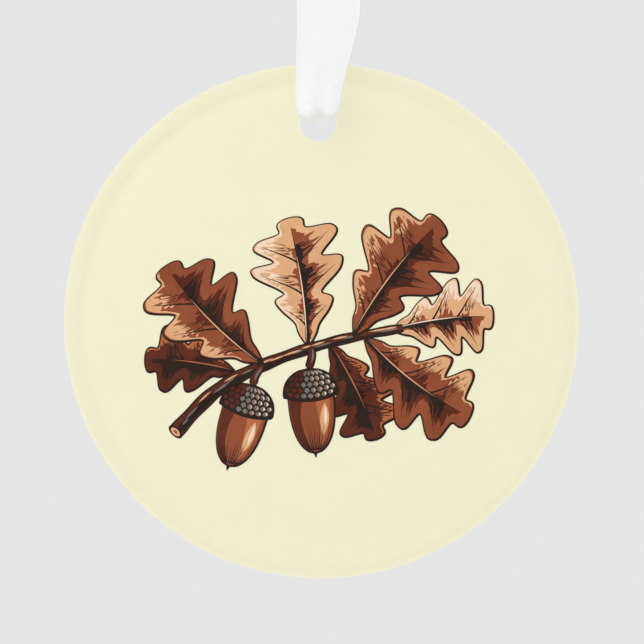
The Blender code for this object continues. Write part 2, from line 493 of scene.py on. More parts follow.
@dataclass(frozen=True)
class WovenSatin(Finish):
    """White polyester satin ribbon, woven with long floats and plain selvedges.

    The floats give a soft streak of light along the ribbon, and the selvedges show as
    two narrow, closer bands. Real floats and picks lie 0.1 mm apart, under one pixel of
    the picture, so they are drawn at 0.22 and 0.26 mm. Slubs, the yarn's thicker places,
    come every few millimetres. The cloth is thin, so that a good part of the light on it
    comes through from behind.
    """

    name: str = "white_polyester_satin"
    colour: str = "#F3F5F5"
    # shaded: painted shade for the dips between the threads, also used for the yarn's own slub tone
    shaded: str = "#EEF0F0"
    passed: str = "#F9FAF9"
    passed_share: float = 0.26
    roughness: tuple[float, float] = (0.34, 0.46)
    ior: float = 1.53
    float_mm: float = 0.22
    pick_mm: float = 0.26
    ties: int = 5
    tie_step: int = 2
    weave_rise: float = 0.010 * MM
    selvedge_from_mm: float = 4.15
    selvedge_blend_mm: float = 0.18
    selvedge_rise: float = 0.03 * MM
    tie_height: float = 0.35
    slub_mm: float = 2.4
    slub_share: float = 0.45
    specular: float = 0.4
    sheen: float = 0.18
    sheen_roughness: float = 0.35

    def weave(self, tree: bpy.types.NodeTree) -> tuple[bpy.types.NodeSocket, bpy.types.NodeSocket]:
        """Height of the threads, and where the selvedges are.

        Args:
            tree: The material's node tree.

        Returns:
            Output sockets of the threads' height and of the selvedges' share, each 0 to 1.
        """
        place = add_node(tree, "ShaderNodeUVMap", uv_map="Weave")
        axes = add_node(tree, "ShaderNodeSeparateXYZ", {0: place.outputs["UV"]})
        found: dict[str, bpy.types.NodeSocket] = {
            "across": axes.outputs["X"],
            "along": axes.outputs["Y"],
        }
        sums: tuple[tuple[str, str, str, float | str], ...] = (
            ("warp", "DIVIDE", "across", self.float_mm),
            ("pick", "DIVIDE", "along", self.pick_mm),
            ("warp turn", "MULTIPLY", "warp", pi),
            ("warp wave", "SINE", "warp turn", 0.0),
            ("ridge", "ABSOLUTE", "warp wave", 0.0),
            ("warp number", "FLOOR", "warp", 0.0),
            ("shift", "MULTIPLY", "warp number", float(self.tie_step)),
            ("shifted pick", "SUBTRACT", "pick", "shift"),
            ("repeat", "DIVIDE", "shifted pick", float(self.ties)),
            ("turn", "FRACT", "repeat", 0.0),
            ("from tie", "MULTIPLY", "turn", float(self.ties)),
            ("tie", "SMOOTH_MIN", "from tie", 1.0),
            ("over tie", "MULTIPLY", "tie", 1.0 - self.tie_height),
            ("float height", "ADD", "over tie", self.tie_height),
            ("floats", "MULTIPLY", "ridge", "float height"),
            ("pick turn", "MULTIPLY", "pick", pi),
            ("pick wave", "SINE", "pick turn", 0.0),
            ("plain", "ABSOLUTE", "pick wave", 0.0),
            ("from middle", "ABSOLUTE", "across", 0.0),
        )
        for name, operation, one, two in sums:
            inputs = {0: found[one], 1: found[two] if isinstance(two, str) else two}
            node = add_node(tree, "ShaderNodeMath", inputs, operation=operation)
            found[name] = node.outputs[0]
        edge = add_node(
            tree,
            "ShaderNodeMapRange",
            {
                "Value": found["from middle"],
                "From Min": self.selvedge_from_mm,
                "From Max": self.selvedge_from_mm + self.selvedge_blend_mm,
            },
        ).outputs["Result"]
        cloth = add_node(
            tree,
            "ShaderNodeMix",
            {0: edge, 2: found["floats"], 3: found["plain"]},
            data_type="FLOAT",
        )
        return cloth.outputs[0], edge

    def shade(self, tree: bpy.types.NodeTree, shader: bpy.types.Node) -> None:
        """Sheen over a satin weave, with painted shade in the weave's dips and a plain woven
        selvedge along both edges.

        Args:
            tree: The material's node tree.
            shader: Its surface shader.
        """
        shader.inputs["IOR"].default_value = self.ior
        shader.inputs["Specular IOR Level"].default_value = self.specular
        shader.inputs["Sheen Weight"].default_value = self.sheen
        shader.inputs["Sheen Roughness"].default_value = self.sheen_roughness
        cloth, edge = self.weave(tree)
        place = add_node(tree, "ShaderNodeTexCoord").outputs["Object"]
        slub = add_node(
            tree,
            "ShaderNodeTexNoise",
            {"Vector": place, "Scale": 1.0 / (self.slub_mm * MM), "Detail": 3.0},
        ).outputs["Fac"]
        # Painted shade: the weave's dips take the shaded colour, mixed with the slub's random yarn
        # tone.
        tone = add_node(
            tree, "ShaderNodeMix", {0: self.slub_share, 2: cloth, 3: slub}, data_type="FLOAT"
        )
        colour = add_node(
            tree,
            "ShaderNodeMix",
            {0: tone.outputs[0], 6: linear(self.shaded), 7: linear(self.colour)},
            data_type="RGBA",
        )
        tree.links.new(colour.outputs[2], shader.inputs["Base Color"])
        rough = add_node(
            tree,
            "ShaderNodeMapRange",
            {"Value": slub, "To Min": self.roughness[0], "To Max": self.roughness[1]},
        )
        tree.links.new(rough.outputs["Result"], shader.inputs["Roughness"])
        height = add_node(
            tree,
            "ShaderNodeMath",
            {0: edge, 1: self.selvedge_rise / self.weave_rise, 2: cloth},
            operation="MULTIPLY_ADD",
        )
        bump = add_node(
            tree,
            "ShaderNodeBump",
            {"Height": height.outputs[0], "Distance": self.weave_rise, "Strength": 1.0},
        )
        tree.links.new(bump.outputs["Normal"], shader.inputs["Normal"])
        through = add_node(tree, "ShaderNodeBsdfTranslucent", {"Color": linear(self.passed)})
        cloth_light = add_node(
            tree,
            "ShaderNodeMixShader",
            {0: self.passed_share, 1: shader.outputs["BSDF"], 2: through.outputs["BSDF"]},
        )
        tree.links.new(cloth_light.outputs[0], tree.nodes["Material Output"].inputs["Surface"])


@dataclass(frozen=True)
class PaintedBoard(Finish):
    """Board with matt emulsion paint, which stands for the studio's pale floor.

    It has the fine dapple that a roller leaves, about 3 mm from one rise to the next.
    """

    name: str = "matt_painted_board"
    colour: str = "#EEEEEE"
    dapple_mm: float = 3.0
    dapple_rise: float = 0.05 * MM
    roughness: float = 0.85

    def shade(self, tree: bpy.types.NodeTree, shader: bpy.types.Node) -> None:
        """Matt pale paint with a roller's dapple.

        Args:
            tree: The material's node tree.
            shader: Its surface shader.
        """
        shader.inputs["Base Color"].default_value = linear(self.colour)
        shader.inputs["Roughness"].default_value = self.roughness
        place = add_node(tree, "ShaderNodeTexCoord").outputs["Object"]
        dapple = add_node(
            tree,
            "ShaderNodeTexNoise",
            {"Vector": place, "Scale": 1.0 / (self.dapple_mm * MM), "Detail": 2.0},
        )
        bump = add_node(
            tree,
            "ShaderNodeBump",
            {"Height": dapple.outputs["Fac"], "Distance": self.dapple_rise},
        )
        tree.links.new(bump.outputs["Normal"], shader.inputs["Normal"])


def dress(thing: bpy.types.Object, finish: Finish, slot: Slot, body: Body) -> bpy.types.Object:
    """Give a piece its finish and put it on its body.

    Args:
        thing: The piece, in place in the row frame.
        finish: What its surface is.
        slot: The record's material slot; not used.
        body: The body that it rides on.

    Returns:
        The same piece.
    """
    thing.data.materials.clear()
    thing.data.materials.append(finish.material())
    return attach(thing, body.value)


@dataclass(frozen=True)
class RibbonRoute:
    """Way of the ribbon through the hole and up to the knot, as the CAD source has it.

    Each strand's line starts in the middle of the hole, bends round its mouth and runs up
    to the knot. A strand's points come from how far they lie across and along the ribbon.
    """

    width: float = 9.5 * MM
    thickness: float = 0.24 * MM
    clearance: float = 0.12 * MM
    disc_half: float = 1.6 * MM
    disc_top: float = -63.5 * MM
    rim_gap: float = 2.0 * MM
    hole_radius: float = 2.55 * MM
    hole_round: float = 0.35 * MM
    hole_z: float = -72.0 * MM
    gather_at_mouth: float = 0.62
    gather_fade: float = 8.6 * MM
    gather_power: float = 1.7
    pinch_at_mouth: float = 0.13
    pinch_fade: float = 0.8 * MM
    wrap_half_width: float = 2.5 * MM
    wrap_fade: float = 3.6 * MM
    bundle_at_mouth: float = 0.25
    bundle_fade: float = 2.4 * MM
    crease_fade: float = 9.0 * MM
    hook_half_gap: float = 1.35 * MM
    bow: float = 0.5 * MM
    side_drift: float = 1.8 * MM
    drift_low: float = 1.6 * MM
    drift_high: float = 17.0 * MM
    neck_length: float = 16.0 * MM
    neck_half_width: float = 2.4 * MM
    neck_pleat: float = 0.55 * MM
    neck_offset: float = 0.7 * MM
    neck_waves: int = 3
    neck_top: float = 3.2 * MM
    tuck: float = 1.4 * MM
    fold_mm: tuple[Point, ...] = (
        (-2.12, 1.42),
        (-1.92, 1.80),
        (-1.42, 2.14),
        (-0.80, 2.26),
        (0.20, 1.54),
        (0.85, 1.50),
        (1.48, 1.94),
        (2.02, 1.80),
        (2.16, 1.36),
    )
    crease_mm: tuple[tuple[float], ...] = (
        (0.04,),
        (0.09,),
        (0.16,),
        (0.21,),
        (0.17,),
        (0.12,),
        (0.13,),
        (0.09,),
        (0.03,),
    )

    @property
    def standoff(self) -> float:
        """Distance of the ribbon's middle surface from the acrylic."""
        return self.clearance + self.thickness / 2.0

    @property
    def bend_radius(self) -> float:
        """Radius of the ribbon's bend round the hole's mouth."""
        return self.hole_round + self.standoff

    @property
    def bend_depth(self) -> float:
        """Distance from the disc's middle plane at which the bend starts."""
        return self.disc_half - self.hole_round

    @property
    def bend_rise(self) -> float:
        """Height above the hole's axis of the bend's centre."""
        return self.hole_radius + self.hole_round

    @property
    def bend_end(self) -> float:
        """Length along the ribbon at which the bend ends and the strand rises."""
        return self.bend_depth + self.bend_radius * pi / 2.0

    @property
    def length(self) -> float:
        """Length of a strand from the middle of the hole to where it tucks into the knot."""
        return self.bend_end + self.neck_top + self.tuck - (self.hole_z + self.bend_rise)

    def turned(self, along: float) -> float:
        """How far a strand has come round its bend at the mouth, from 0 to 1."""
        return ease((along - self.bend_depth) / (self.bend_end - self.bend_depth))

    def fading(self, along: float, fade: float, power: float = 2.0) -> float:
        """Share that is left of something which fades up the strand from the mouth.

        Args:
            along: Distance along the ribbon from the middle of the hole.
            fade: Distance above the mouth at which a share of 1/e is left.
            power: How level the start of the fading is.

        Returns:
            The share, from 1 at the mouth towards 0.
        """
        return exp(-((max(along - self.bend_end, 0.0) / fade) ** power))

    def gather(self, along: float) -> float:
        """How far the ribbon is gathered over its width.

        Args:
            along: Distance along the ribbon from the middle of the hole.

        Returns:
            The share, 1 in the hole and fading up the strand.
        """
        gathered = self.gather_at_mouth * self.fading(along, self.gather_fade, self.gather_power)
        gathered += self.pinch_at_mouth * self.fading(along, self.pinch_fade)
        return mix(1.0, gathered, self.turned(along))

    def bundle(self, along: float) -> float:
        """How far the folds are those of the bundle in the hole, not of the flat strand."""
        share = self.bundle_at_mouth * self.fading(along, self.bundle_fade)
        return mix(1.0, share, self.turned(along))

    def wrap(self, x: float, along: float) -> float:
        """Drop of the bend at x, because the ribbon bends over the round mouth of the hole.

        Args:
            x: Sideways place.
            along: Distance along the ribbon from the middle of the hole.

        Returns:
            How much lower the ribbon lies there than in its middle.
        """
        x = min(abs(x), self.wrap_half_width)
        drop = self.bend_rise - sqrt(self.bend_rise ** 2 - x * x)
        return drop * self.turned(along) * self.fading(along, self.wrap_fade)

    def drift(self, z: float) -> float:
        """Sideways lean of the strands, to the right above the hole and back at the knot.

        Args:
            z: Height in the row frame.

        Returns:
            The distance to the right.
        """
        rise = z - self.hole_z
        out = ease((rise - self.drift_low) / (self.drift_high - self.drift_low))
        back = ease((rise - self.drift_high) / (-self.hole_z - self.drift_high))
        return self.side_drift * out * (1.0 - back)

    def reach(self, z: float) -> float:
        """Distance of a strand's inner line from the plane between the two strands.

        Args:
            z: Height in the row frame.

        Returns:
            The distance, which is least above the hook's place, in the knot's neck.
        """
        if z > 0.0:
            return mix(self.hook_half_gap, self.neck_offset, ease(z / self.neck_top))
        start = self.disc_top + self.rim_gap
        t = max(z - start, 0.0) / -start
        face = self.disc_half + self.standoff
        return mix(face, self.hook_half_gap, ease(t)) + self.bow * sin(pi * t) ** 2

    def keep_clear(self, x: float, reach: float, z: float) -> tuple[float, float, float]:
        """Pull a point in towards the hole's axis where it would touch the acrylic.

        Args:
            x: Sideways place of the point.
            reach: Its distance from the disc's middle plane.
            z: Its height.

        Returns:
            The three numbers, with the point moved where it had to be.
        """
        depth = max(reach - self.bend_depth, 0.0)
        if depth >= self.bend_radius or z > self.hole_z + self.bend_rise:
            return x, reach, z
        radius = hypot(x, z - self.hole_z)
        limit = self.bend_rise - sqrt(self.bend_radius ** 2 - depth ** 2)
        scale = min(1.0, limit / max(radius, limit))
        return x * scale, reach, self.hole_z + (z - self.hole_z) * scale

    def point(self, side: float, across: float, along: float) -> Vector:
        """Point of a strand's middle surface.

        Args:
            side: -1 for the strand in front, 1 for the one behind.
            across: Place over the width, from -1 to 1.
            along: Distance from the middle of the hole, on the ribbon's inner line.

        Returns:
            The point in the row frame.
        """
        turn = min(max((along - self.bend_depth) / self.bend_radius, 0.0), pi / 2.0)
        z = self.hole_z + self.bend_rise - self.bend_radius * cos(turn)
        z += max(along - self.bend_end, 0.0)
        reach = min(along, self.bend_depth) + self.bend_radius * sin(turn)
        if along > self.bend_end:
            reach = self.reach(z)
        share = (across + 1.0) / 2.0
        fold_x, fold_out = (MM * value for value in spline_point(self.fold_mm, share))
        crease = MM * spline_point(self.crease_mm, share)[0]
        gather = self.gather(along)
        neck = ease((z - self.neck_top) / self.neck_length + 1.0)
        pleat = self.neck_pleat * (0.5 - 0.5 * cos(self.neck_waves * pi * (across + 1.0)))
        x = mix(self.width / 2.0 * across, fold_x, gather)
        z -= self.wrap(x, along)
        x = mix(x, self.neck_half_width * across, neck) + self.drift(z)
        crease *= self.fading(along, self.crease_fade)
        out = mix(crease, fold_out, self.bundle(along)) + neck * pleat
        x, reach, z = self.keep_clear(x, reach + out * sin(turn), z - out * cos(turn))
        return Vector((x, side * reach, z))


def add_ribbon(
    name: str,
    cells: tuple[int, int],
    thickness: float,
    place: Callable[[float, float], Vector],
    weave: Callable[[float, float], Point],
) -> bpy.types.Object:
    """Make a ribbon as a grid with a thickness.

    Args:
        name: The object's name.
        cells: Number of cells over the width and along the length.
        thickness: Thickness of the cloth.
        place: Gives the middle surface's point for u across and v along, from 0 to 1.
        weave: Gives the place in the weave for the same u and v, in millimetres.

    Returns:
        The ribbon, with a modifier for its thickness.
    """
    steps = [(i / cells[0], j / cells[1]) for j in range(cells[1] + 1) for i in range(cells[0] + 1)]
    row = cells[0] + 1
    faces = [
        (j * row + i, j * row + i + 1, (j + 1) * row + i + 1, (j + 1) * row + i)
        for j in range(cells[1])
        for i in range(cells[0])
    ]
    ribbon = add_mesh(name, [place(u, v) for u, v in steps], faces)
    add_uv(ribbon, "Weave", [weave(u, v) for u, v in steps])
    thicken = ribbon.modifiers.new("Thickness", "SOLIDIFY")
    thicken.thickness = thickness
    thicken.offset = 0.0
    return ribbon


@dataclass
class RibbonLoop:
    """Two strands of one ribbon, which runs through the hole and up to the knot.

    The cloth is so thin that it hardly dims the soft light round it, and only the key
    light throws its shadow. So soft light passes the strands.
    """

    route: RibbonRoute
    satin: WovenSatin
    cells: tuple[int, int] = (44, 190)
    crowding: float = 0.72
    path_points: int = 36

    def build_strand(self, name: str, side: float, node: str) -> bpy.types.Object:
        """Build one strand in place of its CAD node.

        Args:
            name: The piece's name.
            side: -1 for the strand in front, 1 for the one behind.
            node: The CAD node that it stands for.

        Returns:
            The strand.
        """
        route = self.route

        def run(v: float) -> float:
            """Length along the ribbon at v, with the rows closer at both ends."""
            return route.length * (v - self.crowding * sin(2.0 * pi * v) / (2.0 * pi))

        strand = add_ribbon(
            name,
            self.cells,
            route.thickness,
            lambda u, v: route.point(side, 2.0 * u - 1.0, run(v)),
            lambda u, v: (route.width / MM * (u - 0.5), run(v) / MM),
        )
        strand.visible_diffuse = False
        dress(strand, self.satin, Slot.SATIN, Body.RIBBON)
        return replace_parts(strand, node)

    def build(self) -> list[bpy.types.Object]:
        """Build both strands.

        Returns:
            The strand in front and the one behind.
        """
        return [
            self.build_strand("ribbon_strand_front", -1.0, "ribbon_front"),
            self.build_strand("ribbon_strand_back", 1.0, "ribbon_back"),
        ]

    def declare(self, strand: bpy.types.Object, side: float) -> None:
        """Work out the line along a strand's middle, from the middle of the hole to the knot, and
        its length; neither is used.

        Args:
            strand: The strand; not used.
            side: -1 for the strand in front, 1 for the one behind.
        """
        route = self.route
        lengths = [route.length * i / (self.path_points - 1) for i in range(self.path_points)]
        path = [tuple(route.point(side, 0.0, length)) for length in lengths]
        run = sum((Vector(b) - Vector(a)).length for a, b in zip(path, path[1:]))


@dataclass
class Knot:
    """Overhand knot in the doubled ribbon, with two turns over a pleated core."""

    satin: WovenSatin
    centre_z: float = 7.4 * MM
    core_half: tuple[float, float, float] = (3.5 * MM, 1.85 * MM, 3.75 * MM)
    core_cells: tuple[int, int] = (96, 48)
    core_pleats: int = 7
    core_pleat_depth: float = 0.16 * MM
    core_pleat_twist: float = 1.5
    core_fullness: float = 0.72
    core_weave_mm: float = 3.2
    turn_reach: tuple[float, float] = (3.95 * MM, 2.15 * MM)
    turn_half_width: tuple[float, float] = (1.8 * MM, 1.75 * MM)
    turn_tilts: tuple[float, float] = (radians(34.0), radians(-38.0))
    turn_lift: float = 0.22 * MM
    turn_crown: float = 0.42 * MM
    turn_crown_sunk: float = 0.25
    turn_tuck: float = 0.7 * MM
    turn_sway: float = 0.25 * MM
    turn_pleats: int = 3
    turn_pleat_depth: float = 0.13 * MM
    turn_cells: tuple[int, int] = (28, 150)
    turn_weave_mm: Point = (9.5, 20.0)
    weld_reach: float = 0.0005 * MM
    thickness: float = 0.24 * MM

    def build_core(self) -> bpy.types.Object:
        """Core of the knot: a closed lump with pleats that run up it.

        Returns:
            The core, in place of the CAD knot.
        """
        columns, rows = self.core_cells
        centre = Vector((0.0, 0.0, self.centre_z))
        points, weave = [], []
        for j in range(rows + 1):
            rise = -pi / 2.0 + pi * j / rows
            for i in range(columns):
                turn = 2.0 * pi * i / columns
                pleat = 1.0 - self.core_pleat_depth / self.core_half[1] * (
                    0.5 + 0.5 * cos(
                        2.0 * self.core_pleats * turn + self.core_pleat_twist * sin(rise)
                    )
                ) * cos(rise)
                ring = max(cos(rise), 0.0) ** self.core_fullness * pleat
                height = sin(rise)
                x = self.core_half[0] * ring * cos(turn)
                y = self.core_half[1] * ring * sin(turn)
                points.append(centre + Vector((x, y, self.core_half[2] * height)))
                weave.append((self.core_weave_mm * sin(turn), self.core_half[2] / MM * height))
        faces = [
            (j * columns + i, j * columns + (i + 1) % columns,
             (j + 1) * columns + (i + 1) % columns, (j + 1) * columns + i)
            for j in range(rows)
            for i in range(columns)
        ]
        core = add_mesh("knot_core", points, faces)
        add_uv(core, "Weave", weave)
        self.weld(core)
        dress(core, self.satin, Slot.SATIN, Body.RIBBON)
        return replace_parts(core, "ribbon_knot")

    def weld(self, lump: bpy.types.Object) -> None:
        """Merge the corners that meet: the core's poles, or a turn's two ends.

        Args:
            lump: The core or the turn.
        """
        work = bmesh.new()
        work.from_mesh(lump.data)
        bmesh.ops.remove_doubles(work, verts=work.verts[:], dist=self.weld_reach)
        work.to_mesh(lump.data)
        work.free()

    def build_turn(self, name: str, tilt: float, over: float) -> bpy.types.Object:
        """Build one turn of the ribbon round the core.

        Args:
            name: The piece's name.
            tilt: How far the turn rises to one side, in radians.
            over: 1 for the turn that lies on top in front, -1 for the one on top behind.

        Returns:
            The turn.
        """
        lean = Matrix.Rotation(tilt, 3, "Y")
        centre = Vector((0.0, 0.0, self.centre_z))
        columns, rows = self.turn_cells

        def place(u: float, v: float) -> Vector:
            """Point of the turn's middle surface.

            Args:
                u: Place over the turn's width, from 0 to 1.
                v: Place round it, from 0 to 1.

            Returns:
                The point in the row frame.
            """
            side, turn = 2.0 * u - 1.0, 2.0 * pi * v
            front = 0.5 - 0.5 * sin(turn)
            half = mix(self.turn_half_width[0], self.turn_half_width[1], sin(turn) ** 2)
            crown = self.turn_crown * (1.0 - side ** 4) - self.turn_crown_sunk * self.turn_crown
            crown -= self.turn_tuck * cos(turn) ** 2 * side ** 4
            pleat = self.turn_pleat_depth * cos(self.turn_pleats * pi * side + 2.0 * cos(turn))
            lift = self.turn_lift * over * (2.0 * front - 1.0) + crown + pleat * (1.0 - side ** 2)
            x = (self.turn_reach[0] + lift) * cos(turn)
            y = (self.turn_reach[1] + lift) * sin(turn)
            sway = self.turn_sway * sin(2.0 * turn + over)
            return centre + lean @ Vector((x, y, half * side + sway))

        def weave(u: float, v: float) -> Point:
            """Place in the weave for the same u and v."""
            return self.turn_weave_mm[0] * (u - 0.5), self.turn_weave_mm[1] * v

        turn = add_ribbon(name, (columns, rows), self.thickness, place, weave)
        self.weld(turn)
        return dress(turn, self.satin, Slot.SATIN, Body.RIBBON)

    def build(self) -> list[bpy.types.Object]:
        """Build the core and both turns.

        Returns:
            The three pieces.
        """
        return [
            self.build_core(),
            self.build_turn("knot_turn_front", self.turn_tilts[0], 1.0),
            self.build_turn("knot_turn_behind", self.turn_tilts[1], -1.0),
        ]


@dataclass
class RibbonEnd:
    """Free end above the knot, which opens to the full width and is cut on a slant."""

    name: str
    node: str
    side: float
    satin: WovenSatin
    foot: Point = (1.0 * MM, 0.8 * MM)
    foot_z: float = 11.6 * MM
    tuck: float = 2.4 * MM
    length: float = 13.0 * MM
    width: float = 9.5 * MM
    thickness: float = 0.24 * MM
    foot_half_width: float = 1.3 * MM
    open_start: float = 0.12
    open_rate: float = 1.1
    spread: float = radians(30.0)
    lean_start: float = 0.15
    twist_length: float = 4.0 * MM
    cut: float = 3.2 * MM
    curl: float = 3.5 * MM
    pleat: float = 0.5 * MM
    cells: tuple[int, int] = (36, 56)

    def point(self, u: float, v: float) -> Vector:
        """Point of the end's middle surface.

        Args:
            u: Place over the end's width, from 0 to 1.
            v: Place along it, from 0 at its foot to 1 at the cut.

        Returns:
            The point in the row frame.
        """
        across = 2.0 * u - 1.0
        cut = self.cut * (0.5 + 0.5 * self.side * across)
        length = v * (self.length - cut * v)
        part = length / self.length
        opening = ease(self.open_start + self.open_rate * part)
        half = across * mix(self.foot_half_width, self.width / 2.0, opening)
        lean = self.spread * ease(self.lean_start + part)
        twist = ease(length / self.twist_length)
        pleat = (1.0 - opening) * self.pleat * cos(2.0 * pi * across)
        x = self.side * sin(lean) * length + half * cos(lean)
        y = self.side * (self.curl * part * part + pleat)
        z = cos(lean) * length - self.side * half * sin(lean) * twist
        sunk = self.tuck * (1.0 - ease(length / self.twist_length))
        foot = Vector((self.side * self.foot[0], self.side * self.foot[1], self.foot_z - sunk))
        return foot + Vector((x, y, z))

    def build(self) -> bpy.types.Object:
        """Build the end in place of its CAD node.

        Returns:
            The end.
        """
        end = add_ribbon(
            self.name,
            self.cells,
            self.thickness,
            self.point,
            lambda u, v: (self.width / MM * (u - 0.5), self.length / MM * v),
        )
        dress(end, self.satin, Slot.SATIN, Body.RIBBON)
        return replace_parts(end, self.node)


@dataclass
class AcrylicDisc:
    """Clear disc: a turned edge, two flat faces and a hole with rounded mouths.

    A flat face is framed by a narrow flat ring on each side, so that its light and
    reflections stay those of a plane right up to where the edge starts to turn.
    """

    acrylic: CastAcrylic
    centre_z: float = -100.0 * MM
    radius: float = 36.5 * MM
    half: float = 1.6 * MM
    pillow_start: float = 32.9 * MM
    pillow_drop: float = 0.35 * MM
    front_round: float = 1.1 * MM
    front_round_from: float = radians(72.0)
    back_round: float = 0.3 * MM
    hole_rise: float = 28.0 * MM
    hole_radius: float = 2.55 * MM
    hole_round: float = 0.35 * MM
    frame_ring: float = 0.15 * MM
    pillow_cells: int = 12
    front_cells: int = 16
    mouth_cells: int = 8

    def edge_profile(self) -> list[Point]:
        """Section of the edge from the front face to the back.

        Returns:
            Radius and height of each point.
        """
        slope_end = self.radius - self.front_round
        line = [(self.pillow_start - self.frame_ring, self.half)]
        for i in range(self.pillow_cells + 1):
            t = i / self.pillow_cells
            height = self.half - self.pillow_drop * t * t
            line.append((mix(self.pillow_start, slope_end, t), height))
        front = (slope_end, self.half - self.pillow_drop - self.front_round)
        line += arc_points(front, self.front_round, self.front_round_from, 0.0, self.front_cells)
        back = (self.radius - self.back_round, self.back_round - self.half)
        line += arc_points(back, self.back_round, 0.0, -pi / 2.0, self.mouth_cells)
        return line + [(self.radius - self.back_round - self.frame_ring, -self.half)]

    def hole_profile(self) -> list[Point]:
        """Section of the hole's wall from the front face to the back.

        Returns:
            Radius and height of each point.
        """
        flare = self.hole_radius + self.hole_round
        centre = (flare, self.half - self.hole_round)
        upper = [(flare + self.frame_ring, self.half)]
        upper += arc_points(centre, self.hole_round, pi / 2, pi, self.mouth_cells)
        return upper + [(r, -z) for r, z in reversed(upper)]

    def build(self) -> bpy.types.Object:
        """Build the disc in place of its CAD node.

        Returns:
            The disc.
        """
        plate = TurnedPlate(self.centre_z, self.hole_rise, self.edge_profile(), self.hole_profile())
        disc = plate.build("clear_disc")
        disc.visible_shadow = False
        disc.visible_diffuse = False
        dress(disc, self.acrylic, Slot.ACRYLIC, Body.DISC)
        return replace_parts(disc, "acrylic_disc")


class Ink(Enum):
    """Inks of the printed spray, from its outlines to its lights."""

    UMBER = "umber"
    BARK = "bark"
    CHESTNUT = "chestnut"
    RUSSET = "russet"
    TAN = "tan"
    SLATE = "slate"
    CREAM = "cream"


class Pen(Enum):
    """How a stroke's width runs from its start to its end."""

    FADING = "thick, then running out to a point"
    SWELLING = "pointed at both ends"
    EVEN = "nearly even, with rounded ends"

    def width(self, t: float) -> float:
        """Width along a stroke.

        Args:
            t: Place along it, from 0 to 1.

        Returns:
            The share of the full width.
        """
        if self is Pen.FADING:
            return (1.0 - t) ** 0.8
        if self is Pen.SWELLING:
            return sin(pi * t) ** 0.8 if 0.0 < t < 1.0 else 0.0
        return min(1.0, 6.0 * min(t, 1.0 - t)) ** 0.5


def grown(outline: Sequence[Point], by: Callable[[float], float]) -> list[Point]:
    """Outline moved outward.

    Args:
        outline: Points in counterclockwise order.
        by: Gives the distance for the direction that the edge faces, in radians.

    Returns:
        The moved points.
    """
    moved = []
    for before, here, after in zip(outline[-1:] + outline[:-1], outline, outline[1:] + outline[:1]):
        dx, dy = after[0] - before[0], after[1] - before[1]
        size = max(hypot(dx, dy), TINY)
        out = by(atan2(-dx, dy))
        moved.append((here[0] + out * dy / size, here[1] - out * dx / size))
    return moved


def band(middle: Sequence[Point], halves: Sequence[float]) -> list[Point]:
    """Outline of a band of varying width along a line.

    Args:
        middle: Points along the line.
        halves: Half of the width at each point.

    Returns:
        The outline's points.
    """
    left, right = [], []
    last = len(middle) - 1
    for i, (x, y) in enumerate(middle):
        ahead, behind = middle[min(i + 1, last)], middle[max(i - 1, 0)]
        dx, dy = ahead[0] - behind[0], ahead[1] - behind[1]
        half = halves[i] / max(hypot(dx, dy), TINY)
        left.append((x - dy * half, y + dx * half))
        right.append((x + dy * half, y - dx * half))
    return left + right[::-1]


